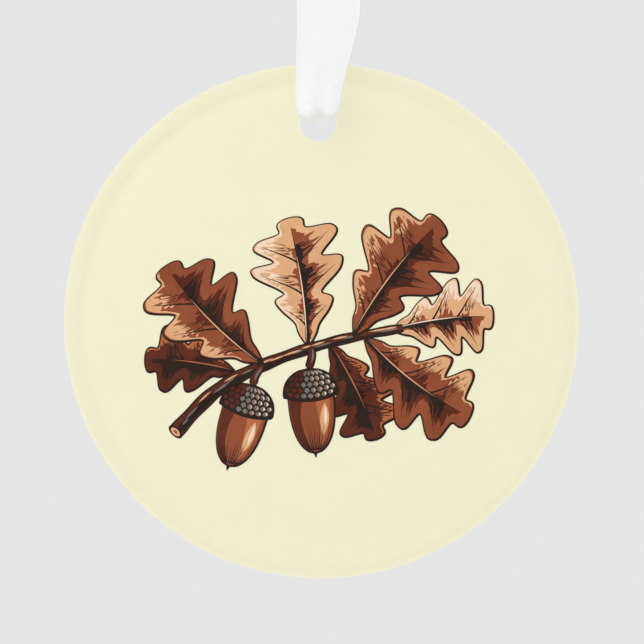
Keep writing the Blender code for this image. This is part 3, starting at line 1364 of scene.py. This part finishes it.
@dataclass
class Drawing:
    """Flat picture of ink patches in millimetres, each laid over those before it."""

    patches: list[tuple[Ink, list[Point]]] = field(default_factory=list)
    line_share: float = 0.4
    line_heading: float = radians(-50.0)
    finest_line: float = 0.02
    merge_reach: float = 1e-4

    def fill(self, ink: Ink, outline: Sequence[Point]) -> None:
        """Lay down a patch of one ink."""
        self.patches.append((ink, self.counterclockwise(outline)))

    @staticmethod
    def counterclockwise(outline: Sequence[Point]) -> list[Point]:
        """Outline in counterclockwise order.

        Args:
            outline: The outline's points.

        Returns:
            The same points, in the other order if they ran clockwise.
        """
        ring = list(outline)
        area = sum(a[0] * b[1] - b[0] * a[1] for a, b in zip(ring, ring[1:] + ring[:1]))
        return ring if area > 0.0 else ring[::-1]

    def bordered(self, ink: Ink, outline: Sequence[Point], line: float) -> None:
        """Lay down a patch with a pen line round it.

        Args:
            ink: The patch's ink.
            outline: Its edge.
            line: Mean width of the line, which is heavier below and to the right.
        """
        def width(facing: float) -> float:
            """Width of the line where its edge faces so."""
            return line * (1.0 + self.line_share * cos(facing - self.line_heading))

        ring = self.counterclockwise(outline)
        self.fill(Ink.UMBER, grown(ring, width))
        self.fill(ink, ring)

    def stroke(self, ink: Ink, line: Sequence[Point], width: float, pen: Pen) -> None:
        """Draw a pen stroke along a line.

        Args:
            ink: Its ink.
            line: Points along its middle.
            width: Its full width.
            pen: How the width runs.
        """
        last = len(line) - 1
        widths = [max(width * pen.width(i / last), self.finest_line) for i in range(last + 1)]
        self.fill(ink, band(line, [full / 2.0 for full in widths]))

    def parted(self) -> dict[Ink, tuple[np.ndarray, np.ndarray]]:
        """Part the picture into triangles that show one ink each.

        Returns:
            For each ink that shows, the corners of the picture and its triangles.
        """
        corners, edges = [], []
        for _, outline in self.patches:
            start, count = len(corners), len(outline)
            corners += [Vector(p) for p in outline]
            edges += [(start + i, start + (i + 1) % count) for i in range(count)]
        found = delaunay_2d_cdt(corners, edges, [], 0, self.merge_reach, False)
        points = np.array([tuple(p) for p in found[0]])
        triangles = np.array([tuple(t) for t in found[2]])
        centres = points[triangles].mean(axis=1)
        top = np.full(len(triangles), -1)
        for k, (_, outline) in enumerate(self.patches):
            ring = np.array(outline)
            near = np.flatnonzero(((centres >= ring.min(0)) & (centres <= ring.max(0))).all(axis=1))
            top[near[self.inside(ring, centres[near])]] = k
        shown = {}
        for ink in Ink:
            own = [k for k, (laid, _) in enumerate(self.patches) if laid is ink]
            part = triangles[np.isin(top, own)]
            if len(part):
                shown[ink] = (points, part)
        return shown

    @staticmethod
    def inside(ring: np.ndarray, places: np.ndarray) -> np.ndarray:
        """Whether places lie inside an outline.

        Args:
            ring: The outline's points in counterclockwise order.
            places: The places to ask about.

        Returns:
            True for each place that the outline goes round once or more.
        """
        x, y = places[:, :1], places[:, 1:]
        ax, ay = ring[:, 0], ring[:, 1]
        bx, by = np.roll(ax, -1), np.roll(ay, -1)
        left = (bx - ax) * (y - ay) - (x - ax) * (by - ay)
        up = (ay <= y) & (by > y) & (left > 0.0)
        down = (ay > y) & (by <= y) & (left < 0.0)
        return up.sum(axis=1) > down.sum(axis=1)


@dataclass(frozen=True)
class OakLeaf:
    """Lobed leaf of the spray, drawn from its midrib.

    Lengths are in millimetres and angles in degrees, counterclockwise from the right.
    """

    foot: Point
    heading: float
    length: float
    half_width: float
    bend: float
    body: Ink
    shade: Ink
    light: Ink
    lit_side: float = 1.0
    lobes: int = 4
    depth: float = 0.5
    lean: float = 0.34
    seed: int = 1
    edge_cells: int = 72
    border: float = 0.25
    vein_line: float = 0.32
    rib_line: float = 0.66
    glint_line: float = 0.18
    loose_line: float = 0.30
    loose_line_half_width: float = 6.0
    hatch_line: float = 0.15
    loose_strokes: int = 6
    hatch_strokes: int = 7

    def place(self, along: float, across: float) -> Point:
        """Place in the picture of a point along the midrib and across it.

        Args:
            along: Distance from the leaf's foot, along the midrib.
            across: Distance from the midrib, to its left.

        Returns:
            The place.
        """
        turn = radians(self.bend)
        start = radians(self.heading) - turn / 2.0
        facing = start + turn * along / self.length
        radius = self.length / turn
        x = self.foot[0] + radius * (sin(facing) - sin(start)) - across * sin(facing)
        y = self.foot[1] + radius * (cos(start) - cos(facing)) + across * cos(facing)
        return x, y

    def reach(self, t: float, side: float) -> float:
        """Distance of the lobed edge from the midrib.

        Args:
            t: Place along the leaf, from 0 to 1.
            side: 1 for the left half, -1 for the right.

        Returns:
            The distance in millimetres.
        """
        body = max(sin(pi * min(t, 1.0) ** 1.3), 0.0) ** 0.8
        notch = (0.5 - 0.5 * cos(2.0 * pi * (self.lobes * t - 0.05 * side * (1.0 - t)))) ** 1.6
        uneven = 1.0 + 0.06 * sin(9.0 * t + self.seed + side)
        return self.half_width * body * uneven * (1.0 - self.depth * ease(4.0 * t) * notch)

    def spot(self, t: float, share: float, side: float) -> Point:
        """Place at t along the leaf and a share of the way from the midrib to the edge."""
        reach = self.reach(t, side) * share
        return self.place(self.length * t + self.lean * reach, side * reach)

    def outline(self) -> list[Point]:
        """Edge of the leaf, from its foot up one side and down the other.

        Returns:
            The edge's points.
        """
        steps = [i / self.edge_cells for i in range(self.edge_cells + 1)]
        right = [self.spot(t, 1.0, -1.0) for t in steps]
        left = [self.spot(t, 1.0, 1.0) for t in steps[-2:0:-1]]
        return right + left

    def vein(self, k: int, side: float, start: float, end: float) -> list[Point]:
        """Line of a lobe's vein.

        Args:
            k: The lobe's number, counted from the foot.
            side: The half of the leaf.
            start: Where the line starts, as a share of the way from midrib to edge.
            end: Where it ends, as such a share.

        Returns:
            The line's points.
        """
        tip = (k + 0.02) / self.lobes
        points = []
        for i in range(9):
            share = mix(start, end, i / 8)
            points.append(self.spot(tip - 0.11 * (1.0 - share) ** 1.4, share, side))
        return points

    def flame(
        self, side: float, base: float, tips: Point, teeth: float, span: Point
    ) -> list[Point]:
        """Outline of a patch with one plain edge and one of pointed tongues.

        Args:
            side: The half of the leaf, 1 or -1.
            base: Place of the plain edge, as a share of the way from midrib to edge.
            tips: Nearest and furthest place of the tongues' edge, as such shares.
            teeth: Number of tongues.
            span: Where the patch starts and ends along the leaf.

        Returns:
            The outline's points.
        """
        count = round(teeth * 8)
        plain = [self.spot(mix(*span, i / count), base, side) for i in range(count + 1)]
        pointed = []
        for i in range(count, -1, -1):
            t = mix(*span, i / count)
            phase = (teeth * i / count + 0.21 * sin(5.0 * i / count * teeth + self.seed)) % 1.0
            tongue = 1.0 - abs(2.0 * phase - 1.0)
            swell = 0.55 + 0.45 * cos(2.0 * pi * (self.lobes * t - 0.12))
            closing = ease(min(i, count - i) / 6.0)
            pointed.append(self.spot(t, mix(base, mix(*tips, tongue * swell), closing), side))
        return plain + pointed

    def draw(self, drawing: Drawing) -> None:
        """Draw the leaf: body, shades, lights, hatching, veins and midrib.

        Args:
            drawing: The picture.
        """
        chance = Random(self.seed)
        drawing.bordered(self.body, self.outline(), self.border)
        dark, lit = -self.lit_side, self.lit_side
        drawing.fill(self.shade, self.flame(dark, 0.0, (0.34, 0.80), 17, (0.02, 0.93)))
        drawing.fill(Ink.UMBER, self.flame(dark, 0.0, (0.12, 0.52), 15, (0.0, 0.80)))
        drawing.fill(self.shade, self.flame(lit, 0.0, (0.06, 0.34), 14, (0.0, 0.78)))
        drawing.fill(self.light, self.flame(lit, 0.96, (0.86, 0.46), 19, (0.10, 0.97)))
        for side in (dark, lit):
            for k in range(1, self.lobes):
                self.draw_lobe(drawing, chance, k, side, side == lit)
                vein = self.vein(k, side, 0.0, 0.86)
                drawing.stroke(Ink.UMBER, vein, self.vein_line, Pen.FADING)
        rib = [self.place(self.length * 0.93 * i / 24, 0.0) for i in range(25)]
        drawing.stroke(Ink.UMBER, rib, self.rib_line, Pen.FADING)
        beside = [0.04 + 0.66 * i / 18 for i in range(19)]
        glint = [self.place(self.length * t, lit * 0.17 * (1.0 - t)) for t in beside]
        drawing.stroke(self.light, glint, self.glint_line, Pen.SWELLING)

    def draw_lobe(self, drawing: Drawing, chance: Random, k: int, side: float, lit: bool) -> None:
        """Draw the loose strokes and the hatching of one lobe.

        Args:
            drawing: The picture.
            chance: Seeded source of small differences.
            k: The lobe's number, counted from the foot.
            side: The half of the leaf.
            lit: Whether that half is the lit one.
        """
        tip = k / self.lobes
        for n in range(self.loose_strokes):
            offset = mix(-0.10, 0.06, (n + 0.5) / self.loose_strokes) + chance.uniform(-0.01, 0.01)
            start = chance.uniform(0.34, 0.5) if lit else chance.uniform(0.5, 0.62)
            end = start + chance.uniform(0.2, 0.3)
            line = [
                self.spot(min(tip + offset * (0.3 + 0.7 * s), 0.98), s, side)
                for s in (mix(end, start, i / 6) for i in range(7))
            ]
            ink = self.light if lit else self.body
            width = self.loose_line * self.half_width / self.loose_line_half_width
            drawing.stroke(ink, line, width, Pen.FADING)
        for n in range(self.hatch_strokes):
            place = (n + 0.5) / self.hatch_strokes
            offset = mix(-0.105, 0.062, place) + chance.uniform(-0.01, 0.01)
            start = chance.uniform(0.12, 0.34)
            end = start + chance.uniform(0.2, 0.36)
            line = [
                self.spot(min(tip + offset * (0.3 + 0.7 * s), 0.98), s, side)
                for s in (mix(start, end, i / 5) for i in range(6))
            ]
            ink = Ink.UMBER if n % 3 else self.shade
            drawing.stroke(ink, line, self.hatch_line, Pen.FADING)


@dataclass(frozen=True)
class Acorn:
    """Acorn of the spray: a scaly cup on a stalk, and a nut with a point.

    Lengths are in millimetres. The heading is in degrees, counterclockwise from the right.
    """

    stem: tuple[Point, ...]
    heading: float
    nut_length: float = 8.2
    nut_half: float = 3.15
    cup_length: float = 3.6
    cup_half: float = 3.75
    seed: int = 5
    cup_sag: float = 0.75
    nut_border: float = 0.24
    cup_border: float = 0.26
    nut_lines: int = 11
    nut_line: float = 0.17
    scale_rows: int = 5
    scale_columns: int = 7

    def place(self, along: float, across: float) -> Point:
        """Place in the picture of a point along the acorn's axis and across it.

        Args:
            along: Distance from the stalk's end, along the axis.
            across: Distance from the axis, to its left.

        Returns:
            The place.
        """
        facing = radians(self.heading)
        foot = self.stem[-1]
        x = foot[0] + along * cos(facing) - across * sin(facing)
        return x, foot[1] + along * sin(facing) + across * cos(facing)

    def nut_reach(self, s: float) -> float:
        """Half width of the nut at s, from 0 under the cup to 1 at its end."""
        return self.nut_half * max(1.0 - max(s, 0.0) ** 2.7, 0.0) ** 0.52

    def nut_spot(self, s: float, share: float) -> Point:
        """Place at s along the nut and a share of its half width across."""
        return self.place(self.cup_length + self.nut_length * s, share * self.nut_reach(s))

    def cup_spot(self, s: float, share: float) -> Point:
        """Place on the cup.

        Args:
            s: Place along the cup, from 0 at its stalk to 1 at its rim.
            share: Place across it, from -1 to 1.

        Returns:
            The place in the picture.
        """
        reach = self.cup_half * max(1.0 - (1.0 - s) ** 2.3, 0.0) ** 0.5
        sag = self.cup_sag * (1.0 - share * share) * s
        return self.place(self.cup_length * s + sag, share * reach)

    def draw(self, drawing: Drawing) -> None:
        """Draw the stalk, the nut and the cup.

        Args:
            drawing: The picture.
        """
        stalk = [spline_point(self.stem, i / 16) for i in range(17)]
        drawing.stroke(Ink.UMBER, stalk, 1.25, Pen.EVEN)
        drawing.stroke(Ink.BARK, stalk, 0.72, Pen.EVEN)
        shine = [(x + 0.16, y + 0.05) for x, y in stalk[2:13]]
        drawing.stroke(Ink.SLATE, shine, 0.3, Pen.SWELLING)
        self.draw_nut(drawing)
        self.draw_cup(drawing)

    def draw_nut(self, drawing: Drawing) -> None:
        """Draw the nut with its shade, lights and lengthwise lines.

        Args:
            drawing: The picture.
        """
        chance = Random(self.seed)
        steps = [-0.12 + 1.12 * i / 40 for i in range(41)]
        outline = [self.nut_spot(s, -1.0) for s in steps]
        outline += [self.nut_spot(s, 1.0) for s in steps[-2::-1]]
        ahead = [0.97 + 0.028 * i for i in range(6)]
        tip = [self.place(self.cup_length + self.nut_length * s, 0.0) for s in ahead]
        drawing.stroke(Ink.UMBER, tip, 0.75, Pen.FADING)
        drawing.bordered(Ink.CHESTNUT, outline, self.nut_border)
        bright = [i / 30 for i in range(31)]
        shade = [self.nut_spot(s, -0.98) for s in bright]
        shade += [self.nut_spot(s, -0.34 - 0.22 * sin(pi * s)) for s in bright[::-1]]
        drawing.fill(Ink.BARK, shade)
        glow = [self.nut_spot(0.08 + 0.8 * s, 0.84 - 0.1 * s) for s in bright]
        glow += [self.nut_spot(0.08 + 0.8 * s, 0.18 + 0.26 * s) for s in bright[::-1]]
        drawing.fill(Ink.RUSSET, glow)
        shine = [self.nut_spot(0.16 + 0.56 * i / 12, 0.6 - 0.06 * i / 12) for i in range(13)]
        drawing.stroke(Ink.TAN, shine, 1.25, Pen.SWELLING)
        spark = [self.nut_spot(0.22 + 0.34 * i / 8, 0.62) for i in range(9)]
        drawing.stroke(Ink.CREAM, spark, 0.5, Pen.SWELLING)
        for n in range(self.nut_lines):
            share = mix(-0.86, 0.9, n / (self.nut_lines - 1)) + chance.uniform(-0.04, 0.04)
            start = chance.uniform(0.45, 0.7)
            line = [self.nut_spot(mix(start, 0.97, i / 7), share) for i in range(8)]
            drawing.stroke(Ink.UMBER, line[::-1], self.nut_line, Pen.FADING)

    def draw_cup(self, drawing: Drawing) -> None:
        """Draw the cup with rows of pointed scales.

        Args:
            drawing: The picture.
        """
        steps = [i / 16 for i in range(17)]
        outline = [self.cup_spot(s, -1.0) for s in steps]
        outline += [self.cup_spot(1.0, mix(-1.0, 1.0, i / 20)) for i in range(21)]
        outline += [self.cup_spot(s, 1.0) for s in steps[::-1]]
        drawing.bordered(Ink.UMBER, outline, self.cup_border)
        rows, columns = self.scale_rows, self.scale_columns
        for row in range(rows):
            middle = (row + 0.75) / (rows + 0.35)
            for column in range(columns + row % 2):
                share = mix(-0.9, 0.9, (column + 0.5 * (1 - row % 2)) / columns)
                self.draw_scale(drawing, middle, share, 0.5 / rows, 0.78 / columns)

    def draw_scale(
        self, drawing: Drawing, s: float, share: float, rise: float, half: float
    ) -> None:
        """Draw one scale of the cup, lighter on its lit half.

        Args:
            drawing: The picture.
            s: Place along the cup.
            share: Place across it.
            rise: Half length of the scale, as a share of the cup's.
            half: Its half width, as a share of the cup's.
        """
        def spot(down: float, out: float) -> Point:
            """Place in the scale, kept inside the cup."""
            across = min(max(share + half * out, -0.97), 0.97)
            return self.cup_spot(min(max(s + rise * down, 0.03), 0.97), across)

        scale = [spot(-0.8, -0.5), spot(-0.8, 0.5), spot(0.1, 1.0), spot(1.0, 0.0), spot(0.1, -1.0)]
        drawing.fill(Ink.SLATE if share > -0.35 else Ink.BARK, scale)
        if share > 0.0:
            lit = [spot(-0.6, 0.1), spot(-0.6, 0.5), spot(0.1, 0.85), spot(0.6, 0.3)]
            drawing.fill(Ink.CREAM if share > 0.45 else Ink.TAN, lit)


@dataclass(frozen=True)
class Twig:
    """Woody twig of the spray, which thins towards its end. Lengths are in millimetres."""

    line: tuple[Point, ...]
    width: float
    seed: int = 3
    cells: int = 60
    taper: float = 0.55
    knobs: float = 0.12
    border: float = 0.24
    bark_lines: int = 30
    bark_line: float = 0.24

    def draw(self, drawing: Drawing) -> None:
        """Draw the twig with a lit edge and short bark lines.

        Args:
            drawing: The picture.
        """
        chance = Random(self.seed)
        steps = range(self.cells + 1)
        middle = [spline_point(self.line, i / self.cells) for i in steps]
        widths = [
            self.width * (1.0 - self.taper * i / self.cells) + self.knobs * sin(i * 0.7)
            for i in steps
        ]
        drawing.fill(Ink.UMBER, band(middle, [w / 2 + self.border for w in widths]))
        drawing.fill(Ink.BARK, band(middle, [w / 2 for w in widths]))
        lower = [(x + 0.05, y - 0.2 * self.width) for x, y in middle]
        drawing.fill(Ink.UMBER, band(lower, [w * 0.27 for w in widths]))
        self.draw_cut(drawing, middle[0], middle[1], widths[0])
        for _ in range(self.bark_lines):
            start = chance.uniform(0.03, 0.93)
            span = chance.uniform(0.03, 0.08)
            side = chance.uniform(-0.32, 0.36)
            line = []
            for i in range(7):
                t = start + span * i / 6
                x, y = spline_point(self.line, t)
                ahead = spline_point(self.line, t + 0.01)
                behind = spline_point(self.line, t - 0.01)
                size = max(hypot(ahead[0] - behind[0], ahead[1] - behind[1]), TINY)
                off = side * self.width * (1.0 - self.taper * t) / size
                line.append((x - (ahead[1] - behind[1]) * off, y + (ahead[0] - behind[0]) * off))
            ink = Ink.TAN if side > 0.12 else Ink.SLATE if side > -0.08 else Ink.UMBER
            drawing.stroke(ink, line, self.bark_line, Pen.SWELLING)

    @staticmethod
    def draw_cut(drawing: Drawing, end: Point, ahead: Point, width: float) -> None:
        """Draw the pale cut face at the twig's thick end.

        Args:
            drawing: The picture.
            end: Middle of the cut face.
            ahead: A point further along the twig.
            width: The twig's width there.
        """
        size = max(hypot(ahead[0] - end[0], ahead[1] - end[1]), TINY)
        dx, dy = (ahead[0] - end[0]) / size, (ahead[1] - end[1]) / size
        for ink, share in ((Ink.UMBER, 1.0), (Ink.TAN, 0.66), (Ink.CHESTNUT, 0.28)):
            long, short = share * (width / 2.0 + 0.3), share * 0.62
            ring = [
                (
                    end[0] + short * cos(a) * dx - long * sin(a) * dy,
                    end[1] + short * cos(a) * dy + long * sin(a) * dx,
                )
                for a in (2.0 * pi * i / 28 for i in range(28))
            ]
            drawing.fill(ink, ring)


@dataclass
class Print:
    """Print on the back of the disc: a pale ground and a spray of oak leaves and acorns."""

    disc: AcrylicDisc
    ground: PrintedGround
    inks: dict[Ink, PrintedInk]
    margin: float = 0.8 * MM
    hole_margin: float = 0.1 * MM
    ground_front: float = 1.46 * MM
    ground_back: float = 1.55 * MM
    ink_front: float = 1.42 * MM
    ink_back: float = 1.452 * MM
    sharp_from: float = radians(40.0)
    least_area: float = 1e-14
    centre: Point = (-0.46, -2.41)
    channel_mm: tuple[Point, ...] = (
        (31.2, 0.0),
        (31.4, 0.0),
        (31.9, 0.002),
        (32.5, 0.012),
        (33.0, 0.028),
        (33.4, 0.034),
        (33.7, 0.026),
        (34.0, -0.002),
        (34.3, -0.046),
        (34.6, -0.082),
        (34.9, -0.100),
        (35.4, -0.104),
    )

    def build_ground(self) -> bpy.types.Object:
        """Build the ground, which dips and rises again where it nears the polished edge.

        Returns:
            The ground.
        """
        disc = self.disc
        rim = disc.radius - self.margin
        edge = [(MM * r, -self.ground_front - MM * dip) for r, dip in self.channel_mm]
        edge += [(rim, edge[-1][1]), (rim, -self.ground_back)]
        edge.append((MM * self.channel_mm[0][0], -self.ground_back))
        inner = disc.hole_radius + self.hole_margin
        hole = [(inner, -self.ground_front), (inner, edge[-1][1])]
        ground = TurnedPlate(disc.centre_z, disc.hole_rise, edge, hole).build("print_ground")
        ground.data.set_sharp_from_angle(angle=self.sharp_from)
        return dress(ground, self.ground, Slot.GROUND, Body.DISC)

    def build_design(self) -> list[bpy.types.Object]:
        """Build the spray, one piece for each ink.

        Returns:
            The pieces, in the order of the inks.
        """
        drawing = Drawing()
        for motif in self.spray():
            motif.draw(drawing)
        pieces = []
        for ink, (points, triangles) in drawing.parted().items():
            flat = (points + np.array(self.centre)) * MM
            name = f"print_{ink.value}"
            piece = self.add_plate(name, flat, triangles, self.ink_front, self.ink_back)
            pieces.append(dress(piece, self.inks[ink], Slot.INK, Body.DISC))
        return pieces

    @staticmethod
    def spray() -> Iterator[Twig | OakLeaf | Acorn]:
        """The spray's twig, leaves and acorns.

        Yields:
            Each motif, from those at the back to those in front.
        """
        shaded = (Ink.BARK, Ink.UMBER, Ink.RUSSET)
        pale = (Ink.TAN, Ink.CHESTNUT, Ink.CREAM)
        brown = (Ink.CHESTNUT, Ink.BARK, Ink.TAN)
        yield OakLeaf((1.5, -0.9), -64.0, 15.0, 4.9, -14.0, *shaded, seed=14)
        yield OakLeaf((-12.0, -4.6), 171.0, 12.8, 4.8, 16.0, *shaded, -1.0, 3, seed=4)
        yield OakLeaf((10.5, 0.9), 7.0, 14.4, 5.6, -18.0, *pale, seed=7)
        yield OakLeaf((-1.5, -1.2), 98.0, 18.4, 6.6, 14.0, *pale, seed=2)
        yield Twig(((-20.5, -13.0), (-14.5, -7.2), (-7.0, -3.4), (2.0, -0.6), (12.0, 1.2)), 1.8)
        yield OakLeaf((-8.0, -3.4), 134.0, 19.5, 6.8, -22.0, *brown, seed=5)
        yield OakLeaf((5.0, 0.2), 52.0, 20.5, 7.0, -20.0, *brown, seed=9)
        yield OakLeaf((6.5, 0.0), -38.0, 18.8, 6.4, 22.0, *brown, seed=12)
        yield Acorn(((-8.0, -3.8), (-9.0, -5.2), (-9.4, -6.6)), -108.0, seed=5)
        yield Acorn(((-1.0, -1.2), (-1.0, -2.8), (-1.5, -4.4)), -86.0, seed=8)

    def add_plate(
        self, name: str, flat: np.ndarray, triangles: np.ndarray, front: float, back: float
    ) -> bpy.types.Object:
        """Make a thin closed plate from flat triangles.

        Args:
            name: The piece's name.
            flat: Corners, sideways and up from the disc's centre, in metres.
            triangles: Three corner numbers each.
            front: Place of the face towards the viewer, along +Y.
            back: Place of the other face.

        Returns:
            The plate.
        """
        a, b, c = (flat[triangles[:, k]] for k in range(3))
        ab, ac = b - a, c - a
        area = ab[:, 0] * ac[:, 1] - ac[:, 0] * ab[:, 1]
        triangles = np.where((area > 0.0)[:, None], triangles, triangles[:, ::-1])
        triangles = triangles[np.abs(area) > self.least_area]
        used, renumbered = np.unique(triangles, return_inverse=True)
        triangles = renumbered.reshape(-1, 3)
        count = len(used)
        z = self.disc.centre_z
        points = [(x, y, z + rise) for y in (front, back) for x, rise in flat[used]]
        sides = {(int(t[k]), int(t[(k + 1) % 3])) for t in triangles for k in range(3)}
        faces = [(int(i), int(j), int(k)) for i, j, k in triangles]
        faces += [(k + count, j + count, i + count) for i, j, k in faces[:]]
        faces += [(j, i, i + count, j + count) for i, j in sides if (j, i) not in sides]
        return add_mesh(name, points, faces, smooth=False)

    def build(self) -> list[bpy.types.Object]:
        """Build the ground and the spray on it."""
        return [self.build_ground(), *self.build_design()]


@dataclass
class Studio:
    """Pale studio: soft surround, key and fill lights, floor and camera."""

    board: PaintedBoard
    backdrop: str = "#E6E6E6"
    surround: float = 0.848
    rear: float = 0.9
    mirrored: float = 0.55
    mirrored_dark: float = 0.12
    disc_z: float = -100.0 * MM
    disc_px: Point = (321.4, 320.8)
    picture_px: int = 644
    mm_per_px: float = 0.1418
    roll: float = radians(0.937)
    camera_distance: float = 1.1
    sensor_mm: float = 36.0
    floor_z: float = -0.2115
    floor_radius: float = 1.2
    key_from: tuple[float, float, float] = (-0.487, -0.626, 0.609)
    key_power: float = 1.9
    key_size: float = 0.85
    wash_from: tuple[float, float, float] = (-0.20, -0.30, 0.42)
    wash_power: float = 0.6
    wash_size: float = 0.3
    floor_rings: tuple[float, ...] = (0.3, 0.6, 1.0)
    floor_steps: int = 96
    clip: Point = (0.05, 20.0)

    def build_world(self) -> None:
        """Surround of soft light, in which gloss also mirrors the dark of the room.

        The camera sees the plain backdrop on every side, also through the clear rim.
        """
        world = bpy.data.worlds.new("studio_surround")
        bpy.context.scene.world = world
        world.use_nodes = True
        tree = world.node_tree
        tree.nodes.clear()
        way = add_node(tree, "ShaderNodeTexCoord").outputs["Generated"]
        y = add_node(tree, "ShaderNodeSeparateXYZ", {0: way}).outputs["Y"]
        front = add_node(
            tree, "ShaderNodeMath", {0: y, 1: -0.5, 2: 0.5}, operation="MULTIPLY_ADD"
        ).outputs[0]
        soft_stops = ((0.45, self.rear), (0.6, self.surround))
        mirrored_stops = (
            (0.5, self.rear),
            (0.7, self.mirrored),
            (0.88, self.mirrored),
            (0.945, self.mirrored_dark),
        )
        soft, mirrored = (
            add_node(tree, "ShaderNodeValToRGB", {"Fac": front}, stops).outputs["Color"]
            for stops in (soft_stops, mirrored_stops)
        )
        ray = add_node(tree, "ShaderNodeLightPath").outputs
        seen = add_node(
            tree,
            "ShaderNodeMath",
            {0: ray["Is Camera Ray"], 1: ray["Is Transmission Ray"]},
            operation="MAXIMUM",
        )
        lit = add_node(
            tree, "ShaderNodeMix", {0: ray["Is Glossy Ray"], 6: soft, 7: mirrored}, data_type="RGBA"
        )
        shown = add_node(
            tree,
            "ShaderNodeMix",
            {0: seen.outputs[0], 6: lit.outputs[2], 7: linear(self.backdrop)},
            data_type="RGBA",
        )
        light = add_node(tree, "ShaderNodeBackground", {"Color": shown.outputs[2]})
        add_node(tree, "ShaderNodeOutputWorld", {"Surface": light.outputs["Background"]})

    def build_light(
        self, name: str, place: Sequence[float], power: float, size: float
    ) -> bpy.types.Object:
        """Put a square softbox in front of the disc.

        Args:
            name: The light's name.
            place: Its place, from the disc's centre.
            power: Its power in watts.
            size: Length of its side.

        Returns:
            The light.
        """
        lamp = bpy.data.lights.new(name, "AREA")
        lamp.energy = power
        lamp.size = size
        light = bpy.data.objects.new(name, lamp)
        light.location = Vector((0.0, 0.0, self.disc_z)) + Vector(place)
        light.rotation_euler = (-Vector(place)).to_track_quat("-Z", "Y").to_euler()
        bpy.context.scene.collection.objects.link(light)
        return light

    def build_floor(self) -> bpy.types.Object:
        """Round floor board under the ornament, out of the main picture.

        Returns:
            The floor.
        """
        steps = self.floor_steps
        turns = [2.0 * pi * i / steps for i in range(steps)]
        points = [
            (r * self.floor_radius * cos(a), r * self.floor_radius * sin(a), 0.0)
            for r in self.floor_rings
            for a in turns
        ]
        faces = [tuple(range(steps))]
        for ring in range(len(self.floor_rings) - 1):
            for i in range(steps):
                k = (i + 1) % steps
                a, b = ring * steps, (ring + 1) * steps
                faces.append((a + i, b + i, b + k, a + k))
        floor = add_mesh("studio_floor", points, faces, smooth=False)
        floor.location = (0.0, 0.0, self.floor_z)
        floor.data.materials.append(self.board.material())
        floor.visible_glossy = False
        return floor

    def build_camera(self) -> bpy.types.Object:
        """Long lens, level with the disc, rolled a little as the photograph is.

        Returns:
            The camera.
        """
        data = bpy.data.cameras.new("camera")
        data.sensor_width = self.sensor_mm
        view_width = self.picture_px * self.mm_per_px * MM
        data.lens = self.sensor_mm * self.camera_distance / view_width
        data.clip_start, data.clip_end = self.clip
        camera = bpy.data.objects.new("camera", data)
        right = Vector((cos(self.roll), 0.0, -sin(self.roll)))
        up = Vector((sin(self.roll), 0.0, cos(self.roll)))
        middle = self.picture_px / 2.0
        aim = Vector((0.0, 0.0, self.disc_z))
        aim += right * (middle - self.disc_px[0]) * self.mm_per_px * MM
        aim += up * (self.disc_px[1] - middle) * self.mm_per_px * MM
        back = Vector((0.0, -1.0, 0.0))
        turn = Matrix((right, up, back)).transposed().to_4x4()
        camera.matrix_world = Matrix.Translation(aim + back * self.camera_distance) @ turn
        bpy.context.scene.collection.objects.link(camera)
        bpy.context.scene.camera = camera
        return camera

    def build(self) -> None:
        """Set the look of the picture and build everything round the object."""
        bpy.context.scene.view_settings.view_transform = "Standard"
        self.build_world()
        key = self.build_light("key_softbox", self.key_from, self.key_power, self.key_size)
        key.visible_glossy = False
        wash = self.build_light("wash_softbox", self.wash_from, self.wash_power, self.wash_size)
        wash.data.use_shadow = False
        wash.visible_glossy = False
        self.build_floor()


def report(part: str, pieces: Sequence[bpy.types.Object]) -> None:
    """Log a part's pieces and their number of faces."""
    for piece in pieces:
        LOG.info("%s: %s, %d faces", part, piece.name, len(piece.data.polygons))


def main() -> None:
    """Build the camera and the ribbon first, and then the disc, its print and the studio."""
    logging.basicConfig(level=logging.INFO, format="%(name)s: %(message)s")
    satin = WovenSatin()
    studio = Studio(PaintedBoard())
    studio.build_camera()

    loop = RibbonLoop(RibbonRoute(), satin)
    strands = loop.build()
    report("ribbon loop", strands)
    knot = Knot(satin).build()
    report("knot", knot)
    ends = [
        RibbonEnd("ribbon_end_left", "ribbon_tail_left", -1.0, satin).build(),
        RibbonEnd("ribbon_end_right", "ribbon_tail_right", 1.0, satin).build(),
    ]
    report("ribbon ends", ends)
    for strand, side in zip(strands, (-1.0, 1.0)):
        loop.declare(strand, side)

    disc = AcrylicDisc(CastAcrylic())
    report("disc", [disc.build()])
    inks = {
        Ink.UMBER: PrintedInk("umber_ink", "#2A1E1A", "#33251F"),
        Ink.BARK: PrintedInk("bark_brown_ink", "#54291A", "#613020"),
        Ink.CHESTNUT: PrintedInk("chestnut_ink", "#87492F", "#935036"),
        Ink.RUSSET: PrintedInk("russet_ink", "#A8623F", "#B46C47"),
        Ink.TAN: PrintedInk("tan_ink", "#D3A076", "#DEAC82"),
        Ink.SLATE: PrintedInk("slate_grey_ink", "#6B6763", "#77736F"),
        Ink.CREAM: PrintedInk("cream_ink", "#E9CBB2", "#EFD5BE"),
    }
    ground = PrintedGround("pale_lemon_ink", "#F2EFD0", "#F1EECE")
    report("print", Print(disc, ground, inks).build())
    studio.build()


if __name__ == "__main__":
    main()
